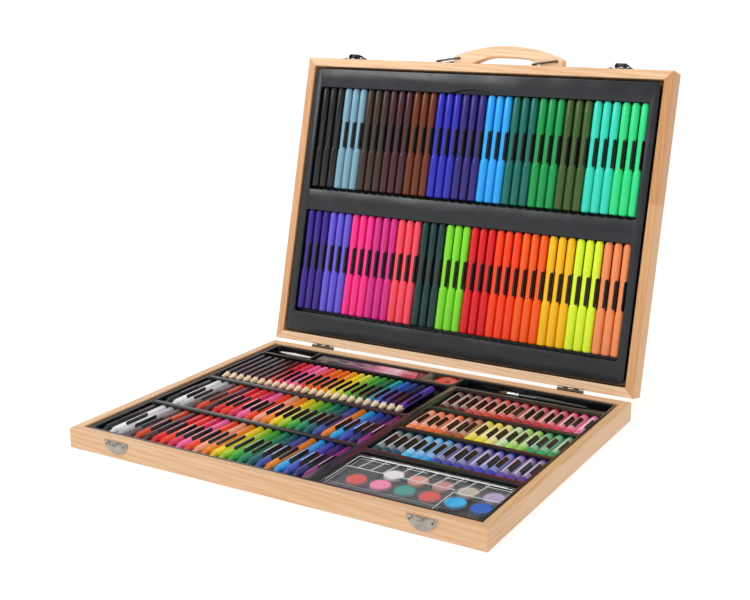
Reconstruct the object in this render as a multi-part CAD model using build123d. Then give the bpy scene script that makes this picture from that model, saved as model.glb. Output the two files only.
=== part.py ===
from build123d import *
import math
import os

# Wooden art case, standing open on a table, in millimetres.
# Origin: centre of the base's underside. +X is to the right, +Y to the back, +Z up.
# The lid is modelled as it lies face up, with its hinge edge at y = 0 and its rim at z = 0,
# and is then turned over onto the hinge pins and opened.

# Case frame; its width and depth follow from what it holds
base_height = 21.0
lid_height = 25.0
rail_thickness = 9.8
edge_ease = 0.6
panel_thickness = 2.7
rabbet_width = 5.0
panel_gap = 0.2
rim_gap = 0.3
open_angle = 104.2
overcut = 5.0

# Hinges, on the back faces
hinge_inset = 70.0
hinge_length = 30.0
hinge_leaf_width = 11.0
hinge_leaf_thickness = 1.0
hinge_pin_radius = 1.0
hinge_knuckle_radius = 2.0
hinge_pin_offset = 2.6
hinge_knuckle_count = 5
hinge_knuckle_gap = 0.3
hinge_pin_clearance = 0.05
hinge_tail_thickness = 0.9
hinge_lip_reach = 1.3
hinge_lip_thickness = 1.0
hinge_tail_overrun = 0.3
hinge_stop_gap = 0.1
hinge_screw_drop = 6.8
hinge_screw_length = 7.5
countersink_radius = 2.1
mortise_gap = 0.15

# Wood screws
screw_shank_radius = 1.1
screw_head_radius = 2.3
screw_head_height = 1.1
screw_length = 6.0
screw_hole_gap = 0.06

# Trays, drawn from thin sheet
tray_sheet = 1.0
tray_corner = 8.0
well_corner = 2.5
item_recess = 0.9
seat_gap = 0.2
end_gap = 0.6
base_tray_gap = 1.2
base_tray_recess = 1.5
tray_foot_gap = 0.2
lid_tray_gap = 3.2
lid_tray_recess = 1.0

# Base tray layout
base_front_land = 4.0
base_side_land = 6.0
base_right_land = 3.5
row_bar = 6.9
middle_bar = 9.85
stick_count = 24
crayon_gap = 0.9
crayon_diameter = 9.6
crayon_length = 86.0
crayon_tip_length = 12.0
crayon_shoulder = 1.2
crayon_point_radius = 1.7
pencil_gap = 1.48
pencil_diameter = 8.4
pencil_length = 85.0
pencil_cone_length = 17.0
pencil_lead_radius = 1.5
pencil_front_gap = 6.6
pencil_rear_gap = 8.0
pastel_count = 15
pastel_row_count = 3
pastel_gap = 0.65
pastel_diameter = 10.3
pastel_length = 58.5
pastel_bar = 9.4
strip_bar = 3.2
strip_depth = 28.5
strip_back_land = 2.5

# Paint box
paint_tray_height = 6.0
paint_wall = 1.2
cake_columns = 6
cake_rows = 2
cake_radius = 9.8
cake_space_x = 5.6
cake_space_y = 4.9
cake_thickness = 3.0
cake_gap = 0.3
cake_seat_gap = 0.05
cake_front_margin = 33.0
cake_back_margin = 21.5
cake_left_margin = 20.0
cake_right_margin = 14.0
cover_height = 4.4
cover_lift = 0.3
cover_floor = 0.9
cover_rear_strip = 9.0
cover_web = 1.0
cover_well_count = 12
cover_front_margin = 8.0
cover_axis_inset = 3.0
fixed_fit = 0.02
brush_slot_length = 118.0
brush_slot_width = 8.0
brush_slot_depth = 3.0
cover_well_length = 24.0
cover_well_slant = 4.0
cover_notch_width = 45.0
cover_notch_depth = 40.0
cover_barrel_radius = 1.7
cover_pin_radius = 0.7
cover_pin_clearance = 0.05
cover_barrel_count = 7
cover_barrel_margin = 10.0
cover_lug_gap = 0.3
cover_lug_root = 1.0

# Loose tools in the rear strip
packet_length = 146.0
packet_height = 12.0
packet_seal = 7.0
packet_seal_thickness = 1.6
packet_crimp_rise = 1.0
packet_shoulder_drop = 0.6
packet_gap = 1.2
packet_left_margin = 63.0
strip_wall = 3.0
sharpener_radius = 14.0
sharpener_height = 12.0
sharpener_lid_height = 3.0
sharpener_margin = 13.2
sharpener_dome = 1.6
brush_handle_radius = 2.6
brush_ferrule_radius = 2.0
brush_tip_radius = 1.9
brush_top_gap = 1.34
small_brush_scale = 0.75
small_brush_length = 52.0
small_brush_side = 10.5
large_brush_length = 150.0
large_brush_side = -5.0
medium_brush_scale = 1.3
medium_brush_length = 104.0
medium_brush_side = 6.0
medium_brush_start = 44.0

# Lid tray and markers
marker_count = 39
marker_gap = 0.45
marker_cap_diameter = 10.2
marker_cap_ease = 1.0
marker_cap_length = 48.0
marker_barrel_diameter = 9.2
marker_length = 121.5
marker_plug_radius = 3.9
marker_plug_length = 2.0
marker_low_gap = 4.0
marker_well_depth_gap = 0.2
marker_low_land = 23.2
marker_bar = 24.8
marker_least_land = 6.0
scoop_radius = 92.5
scoop_reach = 5.0
scoop_depth = 5.0

# Catches on the front
catch_inset = 61.0
catch_plate_radius = 15.0
catch_plate_thickness = 0.8
catch_chord_drop = 3.0
catch_centre_rise = 2.0
catch_screw_spacing = 22.0
catch_screw_drop = 6.6
catch_boss_height = 0.7
catch_boss_inset = 0.8
tongue_width = 4.6
tongue_thickness = 0.9
tongue_tip_drop = 1.3
tongue_gap = 0.15
tongue_tip_gap = 0.3
lever_width = 11.6
lever_length = 12.4
lever_thickness = 0.8
lever_pivot_out = 3.2
lever_roof = 2.6
lever_plate_start = 1.0
lever_cheek_radius = 1.5
lever_cheek_reach = 2.0
lever_pivot_rise = 3.8
lever_ear_thickness = 0.8
lever_ear_radius = 1.8
lever_play = 0.2
rivet_radius = 0.8
rivet_clearance = 0.06
rivet_overhang = 0.2
loop_pivot_step = 4.2
loop_pivot_out = 4.4
loop_wire_radius = 0.7
loop_length = 15.0
loop_side_gap = 0.4
loop_end_inset = 0.1

# Handle
eye_spacing = 121.0
handle_shift = 5.5
eye_plate_length = 14.0
eye_plate_width = 10.0
eye_plate_thickness = 1.0
eye_plate_corner = 3.0
eye_screw_distance = 10.5
eye_height = 2.1
eye_barrel_radius = 1.8
bail_wire_radius = 1.1
bail_clearance = 0.06
bail_free_clearance = 0.35
bail_length = 28.5
handle_overhang = 7.3
handle_width = 11.0
handle_rise = 22.0
handle_grip_height = 12.6
handle_shoulder = 9.0
handle_foot_length = 23.3
handle_arch_slope = 0.45
handle_arch_fullness = 0.9
handle_end_radius = 2.4
handle_edge_radius = 1.2
handle_pin_height = 6.4
handle_seat_gap = 0.3
bail_side_gap = 0.6

# Worked out from the values above: pitches, wells, and the case round them
crayon_pitch = crayon_diameter + crayon_gap
pencil_pitch = pencil_diameter + pencil_gap
pastel_pitch = pastel_diameter + pastel_gap
marker_pitch = marker_cap_diameter + marker_gap
cake_pitch_x = 2 * cake_radius + cake_space_x
cake_pitch_y = 2 * cake_radius + cake_space_y
paint_box_width = cake_left_margin + (cake_columns - 1) * cake_pitch_x + cake_right_margin
paint_box_depth = cake_front_margin + (cake_rows - 1) * cake_pitch_y + cake_back_margin
left_well_width = stick_count * max(crayon_pitch, pencil_pitch) + 2 * end_gap
pastel_well_width = pastel_count * pastel_pitch + 2 * end_gap
paint_well_width = paint_box_width + 2 * end_gap
marker_well_width = marker_count * marker_pitch + 2 * end_gap
crayon_well_length = crayon_length + 2 * end_gap
pencil_well_length = pencil_length + pencil_front_gap + pencil_rear_gap
pastel_well_length = pastel_length + 2 * end_gap
marker_well_length = marker_length + marker_low_gap + end_gap
left_rows_depth = 2 * crayon_well_length + pencil_well_length + 2 * row_bar
pastel_rows_depth = pastel_row_count * pastel_well_length + (pastel_row_count - 1) * row_bar
right_rows_depth = paint_box_depth + 2 * end_gap + pastel_bar + pastel_rows_depth
base_inside_width = (base_side_land + left_well_width + middle_bar + max(pastel_well_width, paint_well_width)
                     + base_right_land + 2 * base_tray_gap)
lid_inside_width = marker_well_width + 2 * (marker_least_land + lid_tray_gap)
base_inside_depth = (base_front_land + max(left_rows_depth, right_rows_depth) + strip_bar + strip_depth
                     + strip_back_land + 2 * base_tray_gap)
lid_inside_depth = (marker_low_land + 2 * marker_well_length + marker_bar + marker_least_land
                    + 2 * lid_tray_gap)
case_width = max(base_inside_width, lid_inside_width) + 2 * rail_thickness
case_depth = max(base_inside_depth, lid_inside_depth) + 2 * rail_thickness
hinge_spacing = case_width - 2 * hinge_inset
catch_spacing = case_width - 2 * catch_inset
handle_length = eye_spacing + 2 * handle_overhang
half_width = case_width / 2
half_depth = case_depth / 2
inner_half_width = half_width - rail_thickness
inner_half_depth = half_depth - rail_thickness
lid_rim = base_height + rim_gap
pin_y = half_depth + hinge_pin_offset
pin_z = base_height + rim_gap / 2
base_tray_top = base_height - base_tray_recess
base_tray_half_x = inner_half_width - base_tray_gap
base_tray_half_y = inner_half_depth - base_tray_gap
item_top = base_tray_top - item_recess
front_well_start = -base_tray_half_y + base_front_land
left_well_start = -base_tray_half_x + base_side_land
right_well_end = base_tray_half_x - base_right_land
paint_floor = base_tray_top - item_recess - paint_tray_height - cover_lift - cover_height - seat_gap
paint_front = front_well_start + end_gap
strip_back = base_tray_half_y - strip_back_land
strip_front = strip_back - strip_depth
strip_middle = (strip_front + strip_back) / 2
packet_floor = item_top - packet_height - seat_gap
brush_floor = item_top - 2 * brush_handle_radius * medium_brush_scale - brush_top_gap
sharpener_floor = item_top - sharpener_height - seat_gap
packet_start = left_well_start + packet_left_margin
packet_end = packet_start + packet_length + 2 * end_gap
sharpener_x = packet_end + sharpener_margin + seat_gap + sharpener_radius
paint_right = right_well_end - end_gap
paint_left = paint_right - paint_box_width
paint_back = paint_front + paint_box_depth
first_pastel_row = paint_back + end_gap + pastel_bar
wall_middle = lid_height / 2
lever_inner_half = lever_width / 2 - lever_ear_thickness
bail_half_width = handle_width / 2 + bail_side_gap + bail_wire_radius
bail_rest_angle = math.degrees(math.asin((handle_pin_height + handle_seat_gap - eye_height) / bail_length))


def save(name, shape):
    """Write one named sub-part, a solid or a group of separate solids."""
    solids = shape.solids() if hasattr(shape, "solids") else [s for piece in shape for s in piece.solids()]
    group = Compound(children=list(solids)) if len(solids) > 1 else solids[0]
    export_step(group, os.path.join("parts", name + ".step"))


def block(x0, x1, y0, y1, z0, z1):
    """A plain block between two corners."""
    return Pos((x0 + x1) / 2, (y0 + y1) / 2, (z0 + z1) / 2) * Box(x1 - x0, y1 - y0, z1 - z0)


def soft_block(x0, x1, y0, y1, z0, z1, corner):
    """A block with rounded upright corners."""
    body = block(x0, x1, y0, y1, z0, z1)
    return fillet(body.edges().filter_by(Axis.Z), corner)


def prism(points, plane, amount, both=False):
    """An outline drawn on a plane and drawn out along its normal."""
    outline = make_face(Polyline(*points, close=True))
    return extrude(plane * outline, amount=amount, both=both)


def turned(points):
    """A solid of revolution about Z, from an outline of radius and height."""
    outline = make_face(Polyline(*points, close=True))
    return revolve(Plane.XZ * outline, Axis.Z)


def post(radius, height):
    """A round bar standing on z = 0."""
    return Cylinder(radius, height, align=(Align.CENTER, Align.CENTER, Align.MIN))


def rod(start, end, radius):
    """A round bar from one point to another."""
    direction = Vector(*end) - Vector(*start)
    return Plane(origin=start, z_dir=direction) * post(radius, direction.length)


def opened(shape):
    """Turn a lid piece over onto the base, then open it about the hinge pins."""
    closed = Pos(0, half_depth, lid_rim) * Rot(180, 0, 0) * shape
    return closed.rotate(Axis((0, pin_y, pin_z), (1, 0, 0)), -open_angle)


# Wooden frames: four mitred rails, rabbeted for a thin panel


def wood_rail(length, height):
    """One rail along X with its outer face at y = 0, its panel side at z = 0, mitred at both ends."""
    land = rail_thickness - rabbet_width
    profile = [
        (edge_ease, 0), (0, edge_ease), (0, height - edge_ease), (edge_ease, height),
        (rail_thickness - edge_ease, height), (rail_thickness, height - edge_ease),
        (rail_thickness, panel_thickness), (land, panel_thickness), (land, 0),
    ]
    bar = prism(profile, Plane.YZ, length / 2, both=True)
    half = length / 2
    plan = [(-half, 0), (half, 0), (half - rail_thickness, rail_thickness),
            (-half + rail_thickness, rail_thickness)]
    return bar & prism(plan, Plane.XY, height)


def wood_frame(height):
    """The four rails of a frame centred on the origin, with the panel side down."""
    long_rail = wood_rail(case_width, height)
    short_rail = wood_rail(case_depth, height)
    return {
        "front": Pos(0, -half_depth, 0) * long_rail,
        "back": Pos(0, half_depth, 0) * Rot(0, 0, 180) * long_rail,
        "left": Pos(-half_width, 0, 0) * Rot(0, 0, -90) * short_rail,
        "right": Pos(half_width, 0, 0) * Rot(0, 0, 90) * short_rail,
    }


def wood_panel():
    """The thin panel that sits in the rails' rabbets."""
    margin = rail_thickness - rabbet_width + panel_gap
    return block(-half_width + margin, half_width - margin, -half_depth + margin, half_depth - margin,
                 0, panel_thickness)


def screw(length):
    """A pan head wood screw, head up, with its seat at z = 0."""
    point = screw_shank_radius * 0.3
    return turned([(0, -length), (point, -length), (screw_shank_radius, -length + 2 * screw_shank_radius),
                   (screw_shank_radius, 0), (screw_head_radius, 0),
                   (screw_head_radius, screw_head_height * 0.4),
                   (screw_head_radius * 0.6, screw_head_height), (0, screw_head_height)])


def screw_hole(length):
    """The hole that a screw's shank fills, through the plate and into the wood."""
    radius = screw_shank_radius + screw_hole_gap
    return Cylinder(radius, length + screw_hole_gap, align=(Align.CENTER, Align.CENTER, Align.MAX))


# Stop hinges let into the back faces


def hinge_places():
    return [-hinge_spacing / 2, hinge_spacing / 2]


def hinge_screw_places():
    """Where one leaf's screws lie along X, for both hinges."""
    quarter = hinge_length / 4
    return [x + side * quarter for x in hinge_places() for side in (-1, 1)]


def knuckle_spans(upper):
    """The stretches along X of one leaf's knuckles: odd ones are the upper leaf's."""
    pitch = hinge_length / hinge_knuckle_count
    spans = []
    for index in range(hinge_knuckle_count):
        if (index % 2 == 1) == upper:
            low = -hinge_length / 2 + index * pitch
            spans.append((low + hinge_knuckle_gap / 2, low + pitch - hinge_knuckle_gap / 2))
    return spans


def leaf_plate():
    """A leaf's flat plate, flush with the back face at y = 0, hanging down from the rim at z = 0."""
    plate = block(-hinge_length / 2, hinge_length / 2, -hinge_leaf_thickness, 0, -hinge_leaf_width, 0)
    for dx in (-hinge_length / 4, hinge_length / 4):
        plate -= Pos(dx, 0, -hinge_screw_drop) * Rot(-90, 0, 0) * countersink()
    return plate


def countersink():
    """The tapered hole in a leaf, with its mouth at z = 0."""
    shank = screw_shank_radius + screw_hole_gap
    head = countersink_radius + screw_hole_gap
    return turned([(0, -hinge_leaf_thickness - overcut), (shank, -hinge_leaf_thickness - overcut),
                   (shank, -hinge_leaf_thickness), (head, 0), (head, overcut), (0, overcut)])


def leaf_knuckle(low, high, rise):
    """One knuckle with the web that joins it to the leaf's edge."""
    centre = (hinge_pin_offset, rise)
    tube = Plane.YZ.offset(low) * Pos(*centre) * post(hinge_knuckle_radius, high - low)
    web = block(low, high, -hinge_leaf_thickness, hinge_pin_offset, -hinge_leaf_thickness, 0)
    bore = Plane.YZ.offset(low) * Pos(*centre) * post(hinge_pin_radius + hinge_pin_clearance, high - low)
    return tube + web - bore


def stop_contact():
    """Distance from the pin at which the open tail meets the corner of the lip."""
    lean = -math.cos(math.radians(open_angle))
    face = hinge_tail_thickness / 2 * math.sin(math.radians(open_angle))
    return (hinge_pin_offset - hinge_lip_reach - hinge_stop_gap - face) / lean


def lip_bottom():
    """Height of the lip's lower edge, measured from the base's rim."""
    angle = math.radians(open_angle)
    rise = pin_z - base_height
    return rise - stop_contact() * math.sin(angle) - hinge_tail_thickness / 2 * math.cos(angle)


def lower_leaf():
    """The leaf on the base: plate, three knuckles, and two lips turned out below the upper knuckles."""
    leaf = leaf_plate()
    for low, high in knuckle_spans(upper=False):
        leaf += leaf_knuckle(low, high, pin_z - base_height)
    bottom = lip_bottom()
    for low, high in knuckle_spans(upper=True):
        lip_top = bottom + hinge_lip_thickness
        leaf += block(low, high, -hinge_leaf_thickness, hinge_lip_reach, bottom, lip_top)
    return leaf


def upper_leaf():
    """The leaf on the lid: plate, two knuckles, and tails that stop the lid when it is open."""
    rise = lid_rim - pin_z
    tail_length = stop_contact() + hinge_tail_overrun
    leaf = leaf_plate()
    for low, high in knuckle_spans(upper=True):
        leaf += leaf_knuckle(low, high, rise)
        tail = block(low, high, hinge_pin_offset, hinge_pin_offset + tail_length,
                     rise - hinge_tail_thickness / 2, rise + hinge_tail_thickness / 2)
        inside = post(hinge_knuckle_radius * 0.8, high - low)
        leaf += tail - Plane.YZ.offset(low) * Pos(hinge_pin_offset, rise) * inside
    return leaf


def leaf_mortise(x):
    """The recess for one leaf in a back face, open at the rim."""
    return block(x - hinge_length / 2 - mortise_gap, x + hinge_length / 2 + mortise_gap,
                 -hinge_leaf_thickness, overcut, -hinge_leaf_width - mortise_gap, overcut)


def leaf_screw():
    """A countersunk screw, its head flush with the leaf's outer face at z = 0."""
    point = screw_shank_radius * 0.3
    return turned([(0, -hinge_screw_length), (point, -hinge_screw_length),
                   (screw_shank_radius, -hinge_screw_length + 2 * screw_shank_radius),
                   (screw_shank_radius, -hinge_leaf_thickness), (countersink_radius, 0), (0, 0)])


def leaf_screw_hole():
    """The hole in the wood under a leaf, for a screw whose head is at z = 0."""
    return Pos(0, 0, -hinge_leaf_thickness) * screw_hole(hinge_screw_length - hinge_leaf_thickness)


# Base


def build_base():
    rails = wood_frame(base_height)
    back = rails["back"]
    for x in hinge_places():
        back -= Pos(0, half_depth, base_height) * leaf_mortise(x)
    for x in hinge_screw_places():
        back -= Pos(x, half_depth, base_height - hinge_screw_drop) * Rot(-90, 0, 0) * leaf_screw_hole()
    front = rails["front"]
    for x, z in strike_screw_places():
        front -= Pos(x, -half_depth, z) * Rot(90, 0, 0) * screw_hole(screw_length)
    save("base_front_rail", front)
    save("base_back_rail", back)
    save("base_left_rail", rails["left"])
    save("base_right_rail", rails["right"])
    save("base_bottom_panel", wood_panel())


def build_base_hinges():
    leaves = [Pos(x, half_depth, base_height) * lower_leaf() for x in hinge_places()]
    screws = [Pos(x, half_depth, base_height - hinge_screw_drop) * Rot(-90, 0, 0) * leaf_screw()
              for x in hinge_screw_places()]
    reach = hinge_length / 2
    pins = [rod((x - reach, pin_y, pin_z), (x + reach, pin_y, pin_z), hinge_pin_radius)
            for x in hinge_places()]
    save("hinge_lower_leaves", leaves)
    save("hinge_lower_screws", screws)
    save("hinge_pins", pins)


# Trays


def well(x0, x1, y0, y1, floor):
    return {"x0": x0, "x1": x1, "y0": y0, "y1": y1, "floor": floor}


def sheet_tray(x0, x1, y0, y1, foot, top, wells, round_wells=()):
    """A tray of thin sheet: a flat top with sunk wells, and a skirt down to its foot."""
    tray = soft_block(x0, x1, y0, y1, foot, top, tray_corner)
    cavity = soft_block(x0 + tray_sheet, x1 - tray_sheet, y0 + tray_sheet, y1 - tray_sheet,
                        foot, top - tray_sheet, tray_corner - tray_sheet)
    for w in wells:
        tray -= soft_block(w["x0"], w["x1"], w["y0"], w["y1"], w["floor"], top + overcut, well_corner)
        cavity -= block(w["x0"] - tray_sheet, w["x1"] + tray_sheet, w["y0"] - tray_sheet,
                        w["y1"] + tray_sheet, w["floor"] - tray_sheet, top)
    for x, y, radius, floor in round_wells:
        tray -= Pos(x, y, floor) * post(radius, top + overcut - floor)
        cavity -= Pos(x, y, floor - tray_sheet) * post(radius + tray_sheet, top + overcut - floor)
    return tray - cavity


def crayon_floor():
    return item_top - crayon_diameter - seat_gap


def pencil_half_height():
    """From the axis of a pencil to one of its flats."""
    return pencil_diameter / 2 * math.cos(math.radians(30))


def pencil_floor():
    return item_top - 2 * pencil_half_height() - seat_gap


def pastel_floor():
    return item_top - pastel_diameter - seat_gap


def left_rows():
    """Front and back edge of the three wells on the left: crayons, crayons, pencils."""
    front = (front_well_start, front_well_start + crayon_well_length)
    middle = (front[1] + row_bar, front[1] + row_bar + crayon_well_length)
    back = (middle[1] + row_bar, middle[1] + row_bar + pencil_well_length)
    return [front, middle, back]


def pastel_rows():
    """Front and back edge of the pastel wells on the right, front to back."""
    pitch = pastel_well_length + row_bar
    starts = [first_pastel_row + index * pitch for index in range(pastel_row_count)]
    return [(start, start + pastel_well_length) for start in starts]


def strip_wells():
    """The rear strip: small brush, packet and two larger brushes."""
    tools_start = sharpener_x + sharpener_radius + end_gap + strip_wall
    span = (strip_front, strip_back)
    return [
        well(left_well_start, packet_start - strip_wall, *span, brush_floor),
        well(packet_start, packet_end, *span, packet_floor),
        well(tools_start, right_well_end, *span, brush_floor),
    ]


def build_base_tray():
    rows = left_rows()
    left_end = left_well_start + left_well_width
    wells = [
        well(left_well_start, left_end, *rows[0], crayon_floor()),
        well(left_well_start, left_end, *rows[1], crayon_floor()),
        well(left_well_start, left_end, *rows[2], pencil_floor()),
    ]
    for low, high in pastel_rows():
        wells.append(well(right_well_end - pastel_well_width, right_well_end, low, high, pastel_floor()))
    paint_end = paint_back + end_gap
    wells.append(well(paint_left - end_gap, right_well_end, front_well_start, paint_end, paint_floor))
    wells += strip_wells()
    round_wells = [(sharpener_x, strip_middle, sharpener_radius + seat_gap, sharpener_floor)]
    tray = sheet_tray(-base_tray_half_x, base_tray_half_x, -base_tray_half_y, base_tray_half_y,
                      panel_thickness + tray_foot_gap, base_tray_top, wells, round_wells)
    save("base_tray", tray)


# Crayons, pencils and pastels, lying from back to front with their tips forward


def crayon():
    radius = crayon_diameter / 2
    body = crayon_length - crayon_tip_length
    return turned([(0, 0), (radius, 0), (radius, body), (radius - crayon_shoulder, body),
                   (crayon_point_radius, crayon_length), (0, crayon_length)])


def pencil():
    """A hexagonal pencil, cut to a point: painted barrel, wood cone and lead."""
    hexagon = RegularPolygon(pencil_diameter / 2, 6, major_radius=True)
    barrel = extrude(hexagon, pencil_length)
    base = pencil_length - pencil_cone_length
    point = pencil_lead_radius * 0.3
    slope = (pencil_diameter / 2 - point) / pencil_cone_length
    wide = pencil_diameter / 2 + overcut
    tip = turned([(0, 0), (wide, 0), (wide, base - overcut / slope), (point, pencil_length),
                  (0, pencil_length)])
    return barrel & tip


def pastel():
    radius = pastel_diameter / 2
    return turned([(0, 0), (radius, 0), (radius, pastel_length), (0, pastel_length)])


def laid_row(piece, count, pitch, first_x, back_y, axis_z):
    """Copies of one stick side by side, laid from back_y towards the front."""
    lying = Rot(90, 0, 0) * piece
    return [Pos(first_x + index * pitch, back_y, axis_z) * lying for index in range(count)]


def build_sticks():
    rows = left_rows()
    first = left_well_start + end_gap + crayon_pitch / 2
    crayon_axis = item_top - crayon_diameter / 2
    for name, row in (("crayons_front", rows[0]), ("crayons_middle", rows[1])):
        save(name, laid_row(crayon(), stick_count, crayon_pitch, first, row[1] - end_gap, crayon_axis))
    first_pencil = left_well_start + end_gap + pencil_pitch / 2
    pencil_axis = item_top - pencil_half_height()
    pencil_back = rows[2][1] - pencil_rear_gap
    save("pencils", laid_row(pencil(), stick_count, pencil_pitch, first_pencil, pencil_back, pencil_axis))
    first_pastel = right_well_end - pastel_well_width + end_gap + pastel_pitch / 2
    pastel_axis = item_top - pastel_diameter / 2
    for name, row in zip(("pastels_front", "pastels_middle", "pastels_rear"), pastel_rows()):
        back_y = row[1] - end_gap
        save(name, laid_row(pastel(), pastel_count, pastel_pitch, first_pastel, back_y, pastel_axis))


# Paint box: a tray of round cakes under a clear hinged cover with mixing wells


def cake_places():
    """Centres of the cakes, front row first."""
    left = paint_left + cake_left_margin
    front = paint_front + cake_front_margin
    return [(left + column * cake_pitch_x, front + row * cake_pitch_y)
            for row in range(cake_rows) for column in range(cake_columns)]


def cover_axis():
    """Where the cover's hinge line lies: y and z."""
    bottom = paint_floor + seat_gap + paint_tray_height
    return paint_back - cover_axis_inset, bottom + cover_lift + cover_barrel_radius


def barrel_spans(of_cover):
    """Stretches along X of the hinge barrels at the box's back edge."""
    pitch = (paint_box_width - 2 * cover_barrel_margin) / cover_barrel_count
    spans = []
    for index in range(cover_barrel_count):
        if (index % 2 == 0) != of_cover:
            low = paint_left + cover_barrel_margin + index * pitch
            spans.append((low + cover_lug_gap, low + pitch - cover_lug_gap))
    return spans


def cover_bore(clearance):
    """The long hole for the cover's pin."""
    y, z = cover_axis()
    return rod((paint_left - overcut, y, z), (paint_right + overcut, y, z), cover_pin_radius + clearance)


def barrels(spans, clearance):
    y, z = cover_axis()
    lugs = None
    for low, high in spans:
        tube = rod((low, y, z), (high, y, z), cover_barrel_radius) - cover_bore(clearance)
        lugs = tube if lugs is None else lugs + tube
    return lugs


def build_paint_box():
    floor = paint_floor + seat_gap
    top = floor + paint_tray_height
    axis_y, axis_z = cover_axis()
    tray = soft_block(paint_left, paint_right, paint_front, paint_back, floor, top, well_corner)
    pocket_floor = top - cake_thickness
    for x, y in cake_places():
        tray -= Pos(x, y, pocket_floor) * post(cake_radius + cake_gap, cake_thickness + overcut)
    for low, high in barrel_spans(of_cover=False):
        tray += block(low, high, axis_y - cover_barrel_radius, axis_y + cover_barrel_radius,
                      top - cover_lug_root, axis_z)
    tray -= cover_bore(fixed_fit)
    tray += barrels(barrel_spans(of_cover=False), fixed_fit)
    slot_start = paint_left + cake_left_margin - cake_radius
    slot_front = paint_front + (cake_front_margin - cake_radius - brush_slot_width) / 2
    tray -= soft_block(slot_start, slot_start + brush_slot_length, slot_front, slot_front + brush_slot_width,
                       top - brush_slot_depth, top + overcut, well_corner)
    save("paint_tray", tray)

    cake = turned([(0, 0), (cake_radius, 0), (cake_radius, cake_thickness * 0.7),
                   (cake_radius * 0.8, cake_thickness * 0.95), (0, cake_thickness * 0.95)])
    save("paint_cakes", [Pos(x, y, pocket_floor + cake_seat_gap) * cake for x, y in cake_places()])

    low_x = paint_left + cover_barrel_margin
    high_x = paint_right - cover_barrel_margin
    save("paint_box_pin", rod((low_x, axis_y, axis_z), (high_x, axis_y, axis_z), cover_pin_radius))
    save("paint_cover", paint_cover())


def paint_cover():
    """The clear cover: a plate with a row of slanted wells, a long well and an open corner."""
    bottom = paint_floor + seat_gap + paint_tray_height + cover_lift
    top = bottom + cover_height
    axis_y, axis_z = cover_axis()
    back = axis_y - cover_barrel_radius - cover_lug_gap
    cover = soft_block(paint_left, paint_right, paint_front, back, bottom, top, well_corner)
    notch_x = paint_right - cover_notch_width
    cover -= block(notch_x, paint_right + overcut, paint_front - overcut, paint_front + cover_notch_depth,
                   bottom - overcut, top + overcut)

    inside = bottom + cover_floor
    wells_back = paint_back - cover_rear_strip
    wells_front = wells_back - cover_well_length
    pitch = (paint_box_width - 2 * paint_wall) / cover_well_count
    for index in range(cover_well_count):
        low = paint_left + paint_wall + index * pitch
        high = low + pitch - cover_web
        lean = cover_well_slant if index < cover_well_count - 1 else 0
        outline = [(low, wells_front), (high, wells_front),
                   (high + lean, wells_back), (low + lean, wells_back)]
        if index == 0:
            outline[3] = (low, wells_back)
        cover -= prism(outline, Plane.XY.offset(inside), cover_height)
    cover -= soft_block(paint_left + 2 * paint_wall, notch_x - paint_wall, paint_front + cover_front_margin,
                        wells_front - cover_web, inside, top + overcut, well_corner)
    for low, high in barrel_spans(of_cover=True):
        cover += block(low, high, back - paint_wall, axis_y, bottom, axis_z)
    cover -= cover_bore(cover_pin_clearance)
    return cover + barrels(barrel_spans(of_cover=True), cover_pin_clearance)


# Loose tools in the rear strip


def brush_pieces(length, scale):
    """A brush lying along +X from its hairs: handle, ferrule and hairs, as three solids."""
    handle_radius = brush_handle_radius * scale
    ferrule = length * 0.13
    hairs = length * 0.1
    neck = brush_ferrule_radius * scale
    handle = turned([(0, 0), (neck * 0.9, 0), (handle_radius, length * 0.2),
                     (handle_radius * 0.45, length * 0.74), (0, length * 0.77)])
    metal = turned([(0, 0), (neck * 0.95, 0), (neck, ferrule), (0, ferrule)])
    tip = turned([(0, 0), (brush_tip_radius * scale * 0.25, 0), (brush_tip_radius * scale, hairs * 0.6),
                  (neck * 0.9, hairs), (0, hairs)])
    lying = Rot(0, 90, 0)
    return (Pos(hairs + ferrule, 0, 0) * lying * handle, Pos(hairs, 0, 0) * lying * metal, lying * tip)


def build_tools():
    small, packet_well, tools = strip_wells()
    places = [
        (small["x0"] + end_gap, small_brush_side, small_brush_length, small_brush_scale),
        (tools["x0"] + end_gap, large_brush_side, large_brush_length, 1.0),
        (tools["x0"] + end_gap + medium_brush_start, medium_brush_side, medium_brush_length,
         medium_brush_scale),
    ]
    handles, ferrules, tips = [], [], []
    for x, side, length, scale in places:
        axis_z = brush_floor + seat_gap + brush_handle_radius * scale
        handle, metal, tip = (Pos(x, strip_middle + side, axis_z) * piece
                              for piece in brush_pieces(length, scale))
        handles.append(handle)
        ferrules.append(metal)
        tips.append(tip)
    save("brush_handles", handles)
    save("brush_ferrules", ferrules)
    save("brush_tips", tips)

    seat = Pos(sharpener_x, strip_middle, sharpener_floor + seat_gap)
    lower = seat * turned(
        [(0, 0), (sharpener_radius, 0), (sharpener_radius, sharpener_height - sharpener_lid_height),
         (0, sharpener_height - sharpener_lid_height)])
    lid_base = sharpener_height - sharpener_lid_height
    upper = seat * turned(
        [(0, lid_base), (sharpener_radius, lid_base), (sharpener_radius, sharpener_height - sharpener_dome),
         (sharpener_radius * 0.8, sharpener_height), (0, sharpener_height)])
    save("sharpener_body", lower)
    save("sharpener_lid", upper)
    save("film_packet", film_packet(packet_well, packet_floor + seat_gap))


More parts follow.
